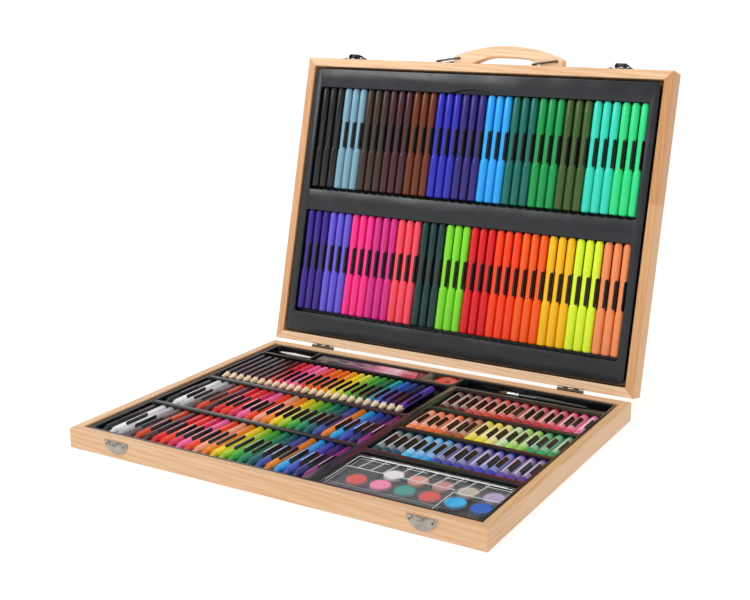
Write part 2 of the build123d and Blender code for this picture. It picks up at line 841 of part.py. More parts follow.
def film_packet(place, floor):
    """A soft packet, full in the middle and flat at its two sealed ends."""
    x0, x1 = place["x0"] + packet_gap, place["x1"] - packet_gap
    y0, y1 = place["y0"] + packet_gap, place["y1"] - packet_gap
    top = floor + packet_height
    seal = top - packet_seal_thickness
    shoulder = top - packet_shoulder_drop
    under = seal - packet_crimp_rise
    edge = seal + packet_seal_thickness / 2
    outline = [(x0, seal), (x0 + packet_seal, under), (x0 + 2 * packet_seal, floor),
               (x1 - 2 * packet_seal, floor), (x1 - packet_seal, under), (x1, seal),
               (x1, edge), (x1 - packet_seal, shoulder), (x1 - 3 * packet_seal, top),
               (x0 + 3 * packet_seal, top), (x0 + packet_seal, shoulder), (x0, edge)]
    return prism(outline, Plane.XZ.offset(-y1), y1 - y0)


# Lid


def marker_axis():
    """Depth of the markers' axis below the lid's rim, as a negative height."""
    return -(lid_tray_recess + item_recess + marker_cap_diameter / 2)


def marker_rows():
    """Start and end of the two wells, measured from the lid's hinge edge."""
    lower = rail_thickness + lid_tray_gap + marker_low_land
    upper = lower + marker_well_length + marker_bar
    return [(start, start + marker_well_length) for start in (lower, upper)]


def build_lid():
    rails = wood_frame(lid_height)
    seat = Pos(0, half_depth, -lid_height)
    front = seat * rails["back"]
    back = seat * rails["front"]
    for x in hinge_places():
        back -= Rot(0, 0, 180) * leaf_mortise(-x)
    for x in hinge_screw_places():
        back -= Pos(x, 0, -hinge_screw_drop) * Rot(90, 0, 0) * leaf_screw_hole()
    for x, z in latch_screw_places():
        front -= Pos(x, case_depth, z) * Rot(-90, 0, 0) * screw_hole(screw_length)
    for x in eye_screw_places():
        front -= Pos(x, case_depth, -wall_middle) * Rot(-90, 0, 0) * screw_hole(screw_length)
    save("lid_front_rail", opened(front))
    save("lid_back_rail", opened(back))
    save("lid_left_rail", opened(seat * rails["left"]))
    save("lid_right_rail", opened(seat * rails["right"]))
    save("lid_top_panel", opened(seat * wood_panel()))


def build_lid_hinges():
    leaves = [opened(Pos(x, 0, 0) * Rot(0, 0, 180) * upper_leaf()) for x in hinge_places()]
    screws = [opened(Pos(x, 0, -hinge_screw_drop) * Rot(90, 0, 0) * leaf_screw())
              for x in hinge_screw_places()]
    save("hinge_upper_leaves", leaves)
    save("hinge_upper_screws", screws)


def build_lid_tray():
    half_x = inner_half_width - lid_tray_gap
    front = case_depth - rail_thickness - lid_tray_gap
    back = rail_thickness + lid_tray_gap
    well_half = marker_well_width / 2
    floor = marker_axis() - marker_cap_diameter / 2 - marker_well_depth_gap
    wells = [well(-well_half, well_half, low, high, floor) for low, high in marker_rows()]
    foot = -lid_height + panel_thickness + tray_foot_gap
    tray = sheet_tray(-half_x, half_x, back, front, foot, -lid_tray_recess, wells)
    upper_edge = marker_rows()[1][1]
    scoop_floor = -lid_tray_recess - scoop_depth
    bowl_centre = upper_edge + scoop_reach - scoop_radius
    bowl = Pos(0, bowl_centre, scoop_floor) * post(scoop_radius, scoop_depth + overcut)
    under = Pos(0, bowl_centre, scoop_floor - tray_sheet) * post(scoop_radius + tray_sheet, scoop_depth)
    beyond = block(-half_x, half_x, upper_edge + tray_sheet, front, -lid_height, overcut)
    tray += under & beyond
    tray -= bowl & block(-half_x, half_x, upper_edge - overcut, front, -lid_height, overcut)
    save("lid_tray", opened(tray))


def build_markers():
    cap_radius = marker_cap_diameter / 2
    barrel_radius = marker_barrel_diameter / 2
    cap = turned([(0, 0), (cap_radius - marker_cap_ease, 0), (cap_radius, marker_cap_ease),
                  (cap_radius, marker_cap_length), (0, marker_cap_length)])
    end = marker_length - marker_plug_length
    barrel = turned([(0, marker_cap_length), (barrel_radius, marker_cap_length), (barrel_radius, end),
                     (marker_plug_radius, end), (marker_plug_radius, marker_length), (0, marker_length)])
    first = -(marker_count - 1) * marker_pitch / 2
    for row_name, row in zip(("lower", "upper"), marker_rows()):
        start = row[0] + marker_low_gap
        for kind, piece in (("caps", cap), ("barrels", barrel)):
            lying = Rot(-90, 0, 0) * piece
            copies = [opened(Pos(first + index * marker_pitch, start, marker_axis()) * lying)
                      for index in range(marker_count)]
            save("marker_" + kind + "_" + row_name, copies)


# Catches: half-moon plates, a hooked tongue on the base, a lever and wire loop on the lid


def catch_places():
    return [-catch_spacing / 2, catch_spacing / 2]


def half_moon_flat():
    """A half-moon plate in the XY plane, its chord along X at y = 0, its belly towards -Y."""
    disc = Pos(0, catch_centre_rise, 0) * post(catch_plate_radius, catch_plate_thickness)
    plate = disc & block(-catch_plate_radius, catch_plate_radius, -2 * catch_plate_radius, 0, 0, overcut)
    for side in (-1, 1):
        place = Pos(side * catch_screw_spacing / 2, -catch_screw_drop / 2, overcut)
        plate -= place * screw_hole(2 * overcut)
    return plate


def half_moon():
    """The plate with its raised middle."""
    boss_radius = catch_plate_radius * 0.55
    boss = Pos(0, catch_centre_rise - 1, catch_plate_thickness) * Cone(
        boss_radius, boss_radius * 0.85, catch_boss_height, align=(Align.CENTER, Align.CENTER, Align.MIN))
    below = block(-catch_plate_radius, catch_plate_radius, -2 * catch_plate_radius, -catch_boss_inset,
                  0, overcut)
    return half_moon_flat() + (boss & below)


def strike_top():
    return base_height - catch_chord_drop


def strike_screw_places():
    z = strike_top() - catch_screw_drop / 2
    return [(x + side * catch_screw_spacing / 2, z) for x in catch_places() for side in (-1, 1)]


def latch_screw_places():
    z = -(catch_chord_drop + catch_screw_drop / 2)
    return [(x + side * catch_screw_spacing / 2, z) for x in catch_places() for side in (-1, 1)]


def loop_bar_height():
    """Height of the loop's cross bar on the base when the lid is closed and latched."""
    return lid_rim + lever_pivot_rise + loop_pivot_step - loop_length


def strike():
    """A half-moon plate with a tongue that turns out and down to catch the loop."""
    plate = half_moon()
    bar = loop_bar_height() - strike_top()
    under = bar + loop_wire_radius + tongue_gap
    tip_in = loop_pivot_out + loop_wire_radius + tongue_tip_gap
    tip_out = tip_in + tongue_thickness
    half = tongue_width / 2
    plate += block(-half, half, under, under + tongue_thickness, 0, tip_out)
    plate += block(-half, half, under - tongue_tip_drop, under + tongue_thickness, tip_in, tip_out)
    return plate


def build_strikes():
    stand = Rot(90, 0, 0)
    plates = [Pos(x, -half_depth, strike_top()) * stand * strike() for x in catch_places()]
    face = -half_depth - catch_plate_thickness
    screws = [Pos(x, face, z) * stand * screw(screw_length - catch_plate_thickness)
              for x, z in strike_screw_places()]
    save("strike_plates", plates)
    save("strike_screws", screws)


def latch_frame(x):
    """From a drawing of x, height above the lid's rim and distance out, to the lid's front wall."""
    return Pos(x, case_depth, 0) * Rot(-90, 0, 0)


def latch_plate():
    """The half-moon plate on the lid, with two ears that hold the lever's rivet."""
    turned_over = Rot(180, 0, 0) * Pos(0, 0, -catch_plate_thickness)
    plate = Pos(0, catch_chord_drop, 0) * turned_over * half_moon_flat()
    ear_low = lever_inner_half - lever_play - lever_ear_thickness
    ear_high = lever_inner_half - lever_play
    for side in (-1, 1):
        inner, outer = sorted((side * ear_low, side * ear_high))
        low, high = lever_pivot_rise - lever_ear_radius, lever_pivot_rise + lever_ear_radius
        plate += block(inner, outer, low, high, 0, lever_pivot_out)
        plate += rod((inner, lever_pivot_rise, lever_pivot_out), (outer, lever_pivot_rise, lever_pivot_out),
                     lever_ear_radius)
    reach = lever_width
    plate -= rod((-reach, lever_pivot_rise, lever_pivot_out), (reach, lever_pivot_rise, lever_pivot_out),
                 rivet_radius + fixed_fit)
    return plate


def lever():
    """The pressed lever: a top plate with two cheeks and a curled thumb edge."""
    half = lever_width / 2
    pivot = lever_pivot_rise
    top_in = lever_pivot_out + lever_roof
    top_out = top_in + lever_thickness
    far = pivot + lever_length
    plate = block(-half, half, pivot + lever_plate_start, far, top_in, top_out)
    plate += rod((-half, far, top_in), (half, far, top_in), lever_thickness)
    for side in (-1, 1):
        inner, outer = sorted((side * lever_inner_half, side * half))
        cheek = block(inner, outer, pivot, pivot + loop_pivot_step + lever_cheek_reach,
                      lever_pivot_out - rivet_radius, top_in)
        cheek += rod((inner, pivot, lever_pivot_out), (outer, pivot, lever_pivot_out), lever_cheek_radius)
        plate += cheek
    reach = half + overcut
    plate -= rod((-reach, pivot, lever_pivot_out), (reach, pivot, lever_pivot_out),
                 rivet_radius + rivet_clearance)
    plate -= rod((-reach, pivot + loop_pivot_step, loop_pivot_out),
                 (reach, pivot + loop_pivot_step, loop_pivot_out), loop_wire_radius + rivet_clearance)
    return plate


def wire_loop():
    """The square wire loop, folded back over the lever, with its ends turned in through the cheeks."""
    pivot = lever_pivot_rise + loop_pivot_step
    out = loop_pivot_out
    side_x = lever_width / 2 + loop_side_gap + loop_wire_radius
    far = pivot + loop_length
    wire = rod((-side_x, far, out), (side_x, far, out), loop_wire_radius)
    for side in (-1, 1):
        corner = (side * side_x, far, out)
        knee = (side * side_x, pivot, out)
        end = (side * (lever_inner_half - loop_end_inset), pivot, out)
        wire += rod(knee, corner, loop_wire_radius) + rod(knee, end, loop_wire_radius)
        wire += Pos(*corner) * Sphere(loop_wire_radius)
        wire += Pos(*knee) * Sphere(loop_wire_radius)
    return wire


def build_latches():
    names = ("left", "right")
    save("latch_plates", [opened(latch_frame(x) * latch_plate()) for x in catch_places()])
    screws = [opened(Pos(x, case_depth + catch_plate_thickness, z) * Rot(-90, 0, 0)
                     * screw(screw_length - catch_plate_thickness)) for x, z in latch_screw_places()]
    save("latch_screws", screws)
    reach = lever_width / 2 + rivet_overhang
    rivet = rod((-reach, lever_pivot_rise, lever_pivot_out), (reach, lever_pivot_rise, lever_pivot_out),
                rivet_radius)
    save("latch_rivets", [opened(latch_frame(x) * rivet) for x in catch_places()])
    for name, x in zip(names, catch_places()):
        save(name + "_latch_lever", opened(latch_frame(x) * lever()))
        save(name + "_latch_loop", opened(latch_frame(x) * wire_loop()))


# Handle: an arched wooden grip on two wire bails


def eye_places():
    return [handle_shift - eye_spacing / 2, handle_shift + eye_spacing / 2]


def eye_screw_places():
    return [x - eye_screw_distance for x in eye_places()]


def wall_frame():
    """From a drawing of x, distance out and height across the wall, to the lid's front wall."""
    return Pos(0, case_depth, -wall_middle)


def eye_plate(x):
    half = eye_plate_width / 2
    plate = block(x - eye_plate_length, x + eye_barrel_radius, 0, eye_plate_thickness, -half, half)
    plate = fillet(plate.edges().filter_by(Axis.Y).group_by(Axis.X)[0], eye_plate_corner)
    plate += block(x - eye_barrel_radius, x + eye_barrel_radius, 0, eye_height, -half, half)
    plate += rod((x, eye_height, -half), (x, eye_height, half), eye_barrel_radius)
    reach = half + overcut
    plate -= rod((x, eye_height, -reach), (x, eye_height, reach), bail_wire_radius + bail_clearance)
    return plate - Pos(x - eye_screw_distance, overcut, 0) * Rot(-90, 0, 0) * screw_hole(2 * overcut)


def bail(x):
    """A closed wire bail from its eye up to the handle's hole, leaning to the right."""
    lean = math.radians(bail_rest_angle)
    top = (x + bail_length * math.cos(lean), eye_height + bail_length * math.sin(lean))
    half = bail_half_width
    wire = rod((x, eye_height, -half), (x, eye_height, half), bail_wire_radius)
    wire += rod((*top, -half), (*top, half), bail_wire_radius)
    for side in (-half, half):
        wire += rod((x, eye_height, side), (*top, side), bail_wire_radius)
        wire += Pos(x, eye_height, side) * Sphere(bail_wire_radius)
        wire += Pos(*top, side) * Sphere(bail_wire_radius)
    return wire


def handle():
    """The arched grip, seen from the front: flat feet, a finger arch and a long curved back."""
    half = handle_length / 2
    lean = math.radians(bail_rest_angle)
    centre = bail_length * math.cos(lean)
    inner = half - handle_foot_length
    arch = handle_rise - handle_grip_height
    outline = Polyline((-half, handle_shoulder), (-half, 0), (-inner, 0)) + Spline(
        (-inner, 0), (-inner / 2, arch * handle_arch_fullness), (0, arch),
        (inner / 2, arch * handle_arch_fullness), (inner, 0),
        tangents=((1, handle_arch_slope), (1, -handle_arch_slope)))
    outline += Polyline((inner, 0), (half, 0), (half, handle_shoulder))
    outline += ThreePointArc((half, handle_shoulder), (0, handle_rise), (-half, handle_shoulder))
    face = make_face(outline)
    grip = extrude(face, handle_width / 2, both=True)
    ends = grip.edges().filter_by(Axis.Z).filter_by(lambda e: abs(abs(e.center().X) - half) < 0.01)
    grip = fillet(ends, handle_end_radius)
    rims = grip.edges().filter_by(lambda e: abs(abs(e.center().Z) - handle_width / 2) < 0.01)
    grip = fillet(rims, handle_edge_radius)
    grip = Pos(handle_shift + centre, handle_seat_gap, 0) * grip
    pin_out = handle_pin_height + handle_seat_gap
    reach = handle_width
    for x, clearance in zip(eye_places(), (bail_clearance, bail_free_clearance)):
        hole_x = x + centre
        grip -= rod((hole_x, pin_out, -reach), (hole_x, pin_out, reach), bail_wire_radius + clearance)
    return grip


def build_handle():
    stand = wall_frame()
    save("handle_eye_plates", [opened(stand * eye_plate(x)) for x in eye_places()])
    screws = [opened(stand * Pos(x, eye_plate_thickness, 0) * Rot(-90, 0, 0)
                     * screw(screw_length - eye_plate_thickness)) for x in eye_screw_places()]
    save("handle_eye_screws", screws)
    save("left_bail", opened(stand * bail(eye_places()[0])))
    save("right_bail", opened(stand * bail(eye_places()[1])))
    save("handle_grip", opened(stand * handle()))


os.makedirs("parts", exist_ok=True)
build_base()
build_base_hinges()
build_base_tray()
build_sticks()
build_paint_box()
build_tools()
build_lid()
build_lid_hinges()
build_lid_tray()
build_markers()
build_strikes()
build_latches()
build_handle()
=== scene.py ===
import math

import bmesh
import bpy
from mathutils import Matrix, Vector


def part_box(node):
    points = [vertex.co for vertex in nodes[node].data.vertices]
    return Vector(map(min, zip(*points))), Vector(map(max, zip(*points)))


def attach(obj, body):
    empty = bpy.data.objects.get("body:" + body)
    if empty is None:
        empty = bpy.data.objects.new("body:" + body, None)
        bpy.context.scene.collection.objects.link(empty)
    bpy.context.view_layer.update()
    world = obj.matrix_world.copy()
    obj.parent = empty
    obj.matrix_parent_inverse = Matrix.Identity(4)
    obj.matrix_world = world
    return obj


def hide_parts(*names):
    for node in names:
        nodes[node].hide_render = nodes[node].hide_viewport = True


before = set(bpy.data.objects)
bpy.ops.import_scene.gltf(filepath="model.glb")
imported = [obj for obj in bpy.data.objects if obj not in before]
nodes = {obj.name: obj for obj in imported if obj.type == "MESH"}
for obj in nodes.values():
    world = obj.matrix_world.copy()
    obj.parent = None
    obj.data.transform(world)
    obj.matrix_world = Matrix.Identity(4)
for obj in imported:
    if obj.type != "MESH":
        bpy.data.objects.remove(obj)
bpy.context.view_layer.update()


# Wooden rails and panels
# Eight rails of pale beech, mitred at the corners and lacquered satin; one is glued up from two lengths.
# Each frame holds a thin panel of the same pale wood in a rabbet.

mm = 0.001


class Signal:
    """A socket of a material; adding or multiplying signals adds the nodes for it."""

    def __init__(self, tree, socket):
        self.tree = tree
        self.socket = socket

    def node(self, kind, settings=None, inputs=None, output=0):
        made = self.tree.nodes.new(kind)
        for name, value in (settings or {}).items():
            if name == "stops":
                fill_ramp(made.color_ramp, value)
            elif name == "interpolation":
                made.color_ramp.interpolation = value
            else:
                setattr(made, name, value)
        for key, value in (inputs or {}).items():
            if isinstance(value, Signal):
                self.tree.links.new(value.socket, made.inputs[key])
            else:
                made.inputs[key].default_value = value
        return Signal(self.tree, made.outputs[output])

    def math(self, operation, *terms):
        return self.node("ShaderNodeMath", {"operation": operation}, dict(enumerate(terms)))

    def __add__(self, other):
        return self.math("ADD", self, other)

    def __radd__(self, other):
        return self.math("ADD", other, self)

    def __sub__(self, other):
        return self.math("SUBTRACT", self, other)

    def __rsub__(self, other):
        return self.math("SUBTRACT", other, self)

    def __mul__(self, other):
        return self.math("MULTIPLY", self, other)

    def __rmul__(self, other):
        return self.math("MULTIPLY", other, self)

    def __truediv__(self, other):
        return self.math("DIVIDE", self, other)

    def __gt__(self, other):
        return self.math("GREATER_THAN", self, other)

    def __lt__(self, other):
        return self.math("LESS_THAN", self, other)

    def __abs__(self):
        return self.math("ABSOLUTE", self)

    def at_least(self, other):
        return self.math("MAXIMUM", self, other)

    def at_most(self, other):
        return self.math("MINIMUM", self, other)

    def root(self):
        return self.math("SQRT", self)

    def floor(self):
        return self.math("FLOOR", self)

    def part(self):
        return self.math("FRACT", self)

    def chance(self):
        """A number from 0 to 1 that differs for each whole value of this signal."""
        return self.node("ShaderNodeTexWhiteNoise", {"noise_dimensions": "1D"}, {"W": self})

    def along(self, direction):
        """The distance along a direction, of a signal that is a place."""
        settings = {"operation": "DOT_PRODUCT"}
        return self.node("ShaderNodeVectorMath", settings, {0: self, 1: direction}, output=1)

    def less(self, place):
        """This place measured from another."""
        return self.node("ShaderNodeVectorMath", {"operation": "SUBTRACT"}, {0: self, 1: tuple(place)})

    def rise(self, low, high):
        """0 at low and 1 at high, straight between them."""
        settings = {"clamp": True}
        return self.node("ShaderNodeMapRange", settings, {"Value": self, "From Min": low, "From Max": high})

    def ramp(self, stops, interpolation="LINEAR"):
        settings = {"stops": stops, "interpolation": interpolation}
        return self.node("ShaderNodeValToRGB", settings, {"Fac": self})

    def pick(self, off, on):
        """Colour off where this signal is 0 and colour on where it is 1."""
        settings = {"data_type": "RGBA", "blend_type": "MIX"}
        return self.node("ShaderNodeMix", settings, {0: self, 6: off, 7: on}, output=2)

    def tinted(self, shade, amount):
        """This colour times another colour, by a share of amount."""
        settings = {"data_type": "RGBA", "blend_type": "MULTIPLY"}
        return self.node("ShaderNodeMix", settings, {0: amount, 6: self, 7: shade}, output=2)


def fill_ramp(ramp, stops):
    """Puts the colours at their places on the ramp."""
    while len(ramp.elements) < len(stops):
        ramp.elements.new(1.0)
    for element, (place, colour) in zip(ramp.elements, sorted(stops, key=lambda stop: stop[0])):
        element.position = place
        element.color = colour


def paint(code, strength=1.0):
    """A colour from its six hexadecimal digits, as the shader wants it."""
    parts = [int(code[start:start + 2], 16) / 255 for start in (0, 2, 4)]
    linear = [c / 12.92 if c <= 0.04045 else ((c + 0.055) / 1.055) ** 2.4 for c in parts]
    return tuple(min(strength * c, 1.0) for c in linear) + (1.0,)


def new_material(name):
    """An empty material, and the place on the piece as a signal."""
    material = bpy.data.materials.new(name)
    material.use_nodes = True
    tree = material.node_tree
    tree.nodes.clear()
    place = Signal(tree, tree.nodes.new("ShaderNodeTexCoord").outputs["Object"])
    return material, place


def surface(material, place, colour, roughness, bump=None, bump_depth=0.0, **fixed):
    """Joins colour, roughness and bump to the material; fixed holds the other sockets' numbers."""
    inputs = {"Base Color": colour, "Roughness": roughness}
    for name, value in fixed.items():
        inputs[name.replace("_", " ").title().replace("Ior", "IOR")] = value
    if bump is not None:
        inputs["Normal"] = place.node("ShaderNodeBump", None, {"Distance": bump_depth, "Height": bump})
    shader = place.node("ShaderNodeBsdfPrincipled", None, inputs)
    output = place.tree.nodes.new("ShaderNodeOutputMaterial")
    place.tree.links.new(shader.socket, output.inputs["Surface"])
    return material


def noise(place, scale, detail=2.0, roughness=0.5, distortion=0.0):
    """Uneven spots, about as many a metre as the scale says."""
    inputs = {"Vector": place, "Scale": scale, "Detail": detail, "Roughness": roughness,
              "Distortion": distortion}
    return place.node("ShaderNodeTexNoise", None, inputs)


def stretched(place, along, across, up, stretch):
    """The place, shortened along the grain so that streaks run that way."""
    inputs = {0: place.along(along) * stretch, 1: place.along(across), 2: place.along(up)}
    return place.node("ShaderNodeCombineXYZ", None, inputs)


open_angle = math.radians(104.2)
lid_up = Vector((0, -math.cos(open_angle), math.sin(open_angle)))
lid_back = Vector((0, math.sin(open_angle), math.cos(open_angle)))
right = Vector((1, 0, 0))
rear = Vector((0, 1, 0))
upright = Vector((0, 0, 1))
case_low, case_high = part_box("base_front_rail")
half_width = case_high.x
half_depth = -case_low.y
pin_low, pin_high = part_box("hinge_pins")
pin = Vector((0, (pin_low.y + pin_high.y) / 2, (pin_low.z + pin_high.z) / 2))
rim_half_gap = pin.z - case_high.z
lid_corner = pin + lid_up * (pin.y - half_depth) - lid_back * rim_half_gap
grain_stretch = 0.05
fleck_stretch = 0.22
ring_scale = 120.0
streak_scale = 520.0
band_scale = 60.0
fleck_scale = 1500.0
pore_depth = 0.05 * mm
joint_fade = 0.28 * mm
joint_core = 0.08 * mm


def beech(name, along, across, up, middle, ends=None, seed=0.0, joined_at=None, tone_and_shade="F2EAE2"):
    """Lacquered beech with its grain along one direction, tinted by the wood's tone and painted shade for
    how the light falls on this rail.

    The ends are a mitred frame's half length, half width and sideways direction. The rail is glued up
    from a second length beyond joined_at."""
    material, place = new_material(name)
    shifted = place.less(middle)
    length = shifted.along(along)
    drift = Vector((seed, seed * 2.3, seed * 0.7))
    grained = stretched(shifted, along, across, up, grain_stretch).less(drift)
    rings = grained.node("ShaderNodeTexWave", {"bands_direction": "DIAGONAL"}, {
        "Vector": grained, "Scale": ring_scale, "Distortion": 9.0, "Detail": 2.0, "Detail Scale": 0.35})
    streaks = noise(grained, streak_scale, 4.0, 0.55)
    bands = noise(grained, band_scale, 3.0, 0.5, 0.6)
    flecks = noise(stretched(shifted, along, across, up, fleck_stretch), fleck_scale).rise(0.60, 0.72)
    tone = rings * 0.12 + streaks * 0.48 + bands * 0.40
    colour = tone.ramp([(0.30, paint("DCAC7C")), (0.42, paint("E8C094")), (0.54, paint("F0CDA6")),
                        (0.68, paint("F6D9B7"))])
    # tone_and_shade multiplies in the wood's tone and painted shade for this rail's side.
    colour = colour.tinted(paint(tone_and_shade), 1.0).tinted(paint("B98A5A"), flecks * 0.22)
    if joined_at is not None:
        colour = colour.tinted(paint("E4D0B4"), (length > joined_at) * 0.6)
    if ends is not None:
        half_long, half_short, short_direction = ends
        from_end = half_long - abs(length)
        from_face = half_short - abs(shifted.along(short_direction))
        joint = abs(from_end - from_face).rise(joint_fade, joint_core)
        colour = colour.tinted(paint("9A6B40"), joint * 0.4)
    return surface(material, place, colour, 0.42 + streaks * 0.16, streaks - flecks * 0.5, pore_depth,
                   coat_weight=0.10, coat_roughness=0.3)


def dress(node, material):
    """Gives a carried node its material."""
    slots = nodes[node].data.materials
    slots.clear()
    slots.append(material)


lid_middle = lid_corner + lid_up * half_depth
base_middle = Vector((0, 0, 0))
long_ends = (half_width, half_depth, rear)
short_ends = (half_depth, half_width, right)
lid_long_ends = (half_width, half_depth, lid_up)
second_length_from = 32 * mm
# The rails' tints differ as painted shade: a rail that the light falls on less is painted darker.
dress("base_front_rail", beech("beech_base_front", right, rear, upright, base_middle, long_ends, 0.31,
                               tone_and_shade="E8DCD2"))
dress("base_back_rail", beech("beech_base_back", right, rear, upright, base_middle, long_ends, 1.47))
dress("base_left_rail", beech("beech_base_left", rear, right, upright, base_middle, short_ends, 2.63))
dress("base_right_rail", beech("beech_base_right", rear, right, upright, base_middle, short_ends, 3.79,
                               tone_and_shade="EADED2"))
dress("lid_front_rail", beech("beech_lid_front", right, lid_up, lid_back, lid_middle, lid_long_ends, 4.21,
                              tone_and_shade="FAF2EA"))
dress("lid_back_rail", beech("beech_lid_back", right, lid_up, lid_back, lid_middle, lid_long_ends, 5.33,
                             tone_and_shade="FFFFFF"))
dress("lid_left_rail", beech("beech_lid_left", lid_up, right, lid_back, lid_middle, short_ends, 6.41,
                             tone_and_shade="E4CDB8"))
dress("lid_right_rail", beech("beech_lid_right", lid_up, right, lid_back, lid_middle, short_ends, 7.83,
                              second_length_from, "E8D0B2"))
dress("base_bottom_panel", beech("beech_bottom_panel", right, rear, upright, base_middle, None, 8.2))
dress("lid_top_panel", beech("beech_top_panel", right, lid_up, lid_back, lid_middle, None, 9.4))


# Hinges
# Two stop hinges of bronzed steel, darkened further as painted shade in the gap between the rails, let into
# the back faces, with pins through five knuckles.
# Each leaf is held by two countersunk cross-head screws.

brushing_depth = 0.01 * mm
cross_half_width = 0.32 * mm
cross_half_length = 1.4 * mm
cross_depth = 0.35 * mm
hinge_half_length = 15 * mm
hinge_screw_gap = 15 * mm
upper_screw_rise = 6.8 * mm


def grey(value):
    """A colour without any hue."""
    return (value, value, value, 1.0)


def plated(name, tone, roughness):
    """Plated steel with faint brushing and a few dull patches."""
    material, place = new_material(name)
    brushed = noise(stretched(place, right, rear, upright, 0.1), 2600.0)
    dull = noise(place, 160.0, 3.0).rise(0.45, 0.75)
    colour = dull.pick(paint(tone), paint(tone, 0.62))
    return surface(material, place, colour, roughness + dull * 0.15 + brushed * 0.08, brushed,
                   brushing_depth, metallic=1.0)


def cross_head(name, tone, up, middles, gap, height):
    """Plated screws with each head's cross recess bumped in and painted near black as painted shade, a gap
    apart in pairs about their middles.
    """
    material, place = new_material(name)
    nearest = None
    for middle in middles:
        for side in (-gap / 2, gap / 2):
            sideways = abs(place.along(right) - (middle + side))
            nearest = sideways if nearest is None else nearest.at_most(sideways)
    upwards = abs(place.along(up) - height)
    cross = (nearest < cross_half_width) * (upwards < cross_half_length)
    cross = cross.at_least((nearest < cross_half_length) * (upwards < cross_half_width))
    worn = noise(place, 900.0)
    # The cross recess is painted near black: painted shade in the recess.
    colour = cross.pick(worn.pick(paint(tone, 0.8), paint(tone)), grey(0.01))
    return surface(material, place, colour, 0.26 + worn * 0.14, 1.0 - cross, cross_depth, metallic=1.0)


# The hinges' dark bronze is partly their plating and partly painted shade for the gap they sit in.
hinge_plating_shaded = plated("hinge_bronze_shaded", "5C5040", 0.40)
for name in ("hinge_lower_leaves", "hinge_upper_leaves", "hinge_pins"):
    dress(name, hinge_plating_shaded)
hinge_middles = [pin_low.x + hinge_half_length, pin_high.x - hinge_half_length]
lower_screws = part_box("hinge_lower_screws")
lower_screw_height = (lower_screws[0].z + lower_screws[1].z) / 2
upper_screw_height = lid_corner.dot(lid_back) + upper_screw_rise
dress("hinge_lower_screws", cross_head("hinge_screws_base", "6E604C", upright, hinge_middles,
                                       hinge_screw_gap, lower_screw_height))
dress("hinge_upper_screws", cross_head("hinge_screws_lid", "6E604C", lid_back, hinge_middles,
                                       hinge_screw_gap, upper_screw_height))


# Base tray
# One sheet of glossy black plastic, drawn down into wells over a mould, so that every edge is eased.
# Its flat lands are painted a grey-brown lighter than the black sheet, as painted sheen, and it drops loose
# into the wooden base.

land_fade = 0.5 * mm
base_tray_ease = 0.45 * mm
base_tray_dents = 0.7 * mm
easing_segments = 2
sharp_from = math.radians(40)
smooth_below = math.radians(38)
flat_within = math.radians(1.0)
node_weld = 0.002 * mm


def formed_sheet(name, wall, land_sheen, towards, land_level, roughness, dents):
    """Thin drawn plastic: its own tone in its wells and a lighter tone on its lands as painted sheen, with
    soft dents, rub marks and rubbed patches painted lighter still as painted sheen.
    """
    material, place = new_material(name)
    waves = noise(place, 15.0, 1.0)
    marks = noise(stretched(place, right, rear, upright, 0.3), 900.0, 3.0, 0.6)
    rubbed_and_sheen = noise(place, 48.0, 3.0).rise(0.48, 0.80)
    on_land = (place.along(towards) - land_level).rise(-land_fade, 0.0)
    # The lighter land tone and the lighter rubbed patches on it are painted sheen; the patches' roughness
    # is real rubbing.
    colour = on_land.pick(paint(wall), rubbed_and_sheen.pick(paint(land_sheen), paint(land_sheen, 1.45)))
    rough = roughness + rubbed_and_sheen * 0.10 + marks * 0.05 + on_land * 0.06
    return surface(material, place, colour, rough, waves, dents, specular_ior_level=0.4)


def eased_copy(node, ease, held=True):
    """A node's shape with its doubles merged and its sharp edges rounded, and the faces of the rounding.

    Held easing takes inner corners too and stays below the shortest edge beside it, so that fine curved
    edges keep their form. Easing that isn't held takes outer edges alone, and in full."""
    shape = bmesh.new()
    shape.from_mesh(nodes[node].data)
    bmesh.ops.remove_doubles(shape, verts=shape.verts, dist=node_weld)
    bmesh.ops.dissolve_limit(shape, angle_limit=flat_within, verts=shape.verts, edges=shape.edges)
    bmesh.ops.recalc_face_normals(shape, faces=shape.faces)
    sharp = [edge for edge in shape.edges if len(edge.link_faces) == 2
             and edge.calc_face_angle() > sharp_from and (held or edge.is_convex)]
    bevelled = bmesh.ops.bevel(shape, geom=sharp, offset=ease, offset_type="OFFSET", affect="EDGES",
                               segments=easing_segments, profile=0.5, material=-1, clamp_overlap=held)
    return shape, bevelled["faces"]


def finished(name, shape, body, material, slot, *replaced):
    """Makes the mesh object of one piece, shaded smooth between its sharp edges."""
    for face in shape.faces:
        face.smooth = True
    for edge in shape.edges:
        edge.smooth = len(edge.link_faces) == 2 and edge.calc_face_angle() < smooth_below
    mesh = bpy.data.meshes.new(name)
    shape.to_mesh(mesh)
    shape.free()
    mesh.materials.append(material)
    piece = bpy.data.objects.new(name, mesh)
    bpy.context.scene.collection.objects.link(piece)
    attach(piece, body)
    if replaced:
        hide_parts(*replaced)
    return piece


base_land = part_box("base_tray")[1].z
# The lands' grey-brown is painted sheen over the black of the sheet.
black_sheet = formed_sheet("black_formed_sheet", "0C0D0F", "262422", upright, base_land, 0.12,
                           base_tray_dents)
black_tray = eased_copy("base_tray", base_tray_ease)[0]
finished("black_tray", black_tray, "base", black_sheet, "black_sheet", "base_tray")


# Crayons
# Two rows of wax crayons in glossy sleeves, lying in two wells of the tray with their tips forward.
# Each sleeve has a dark panel on its upper side and a thin light stripe beside it.

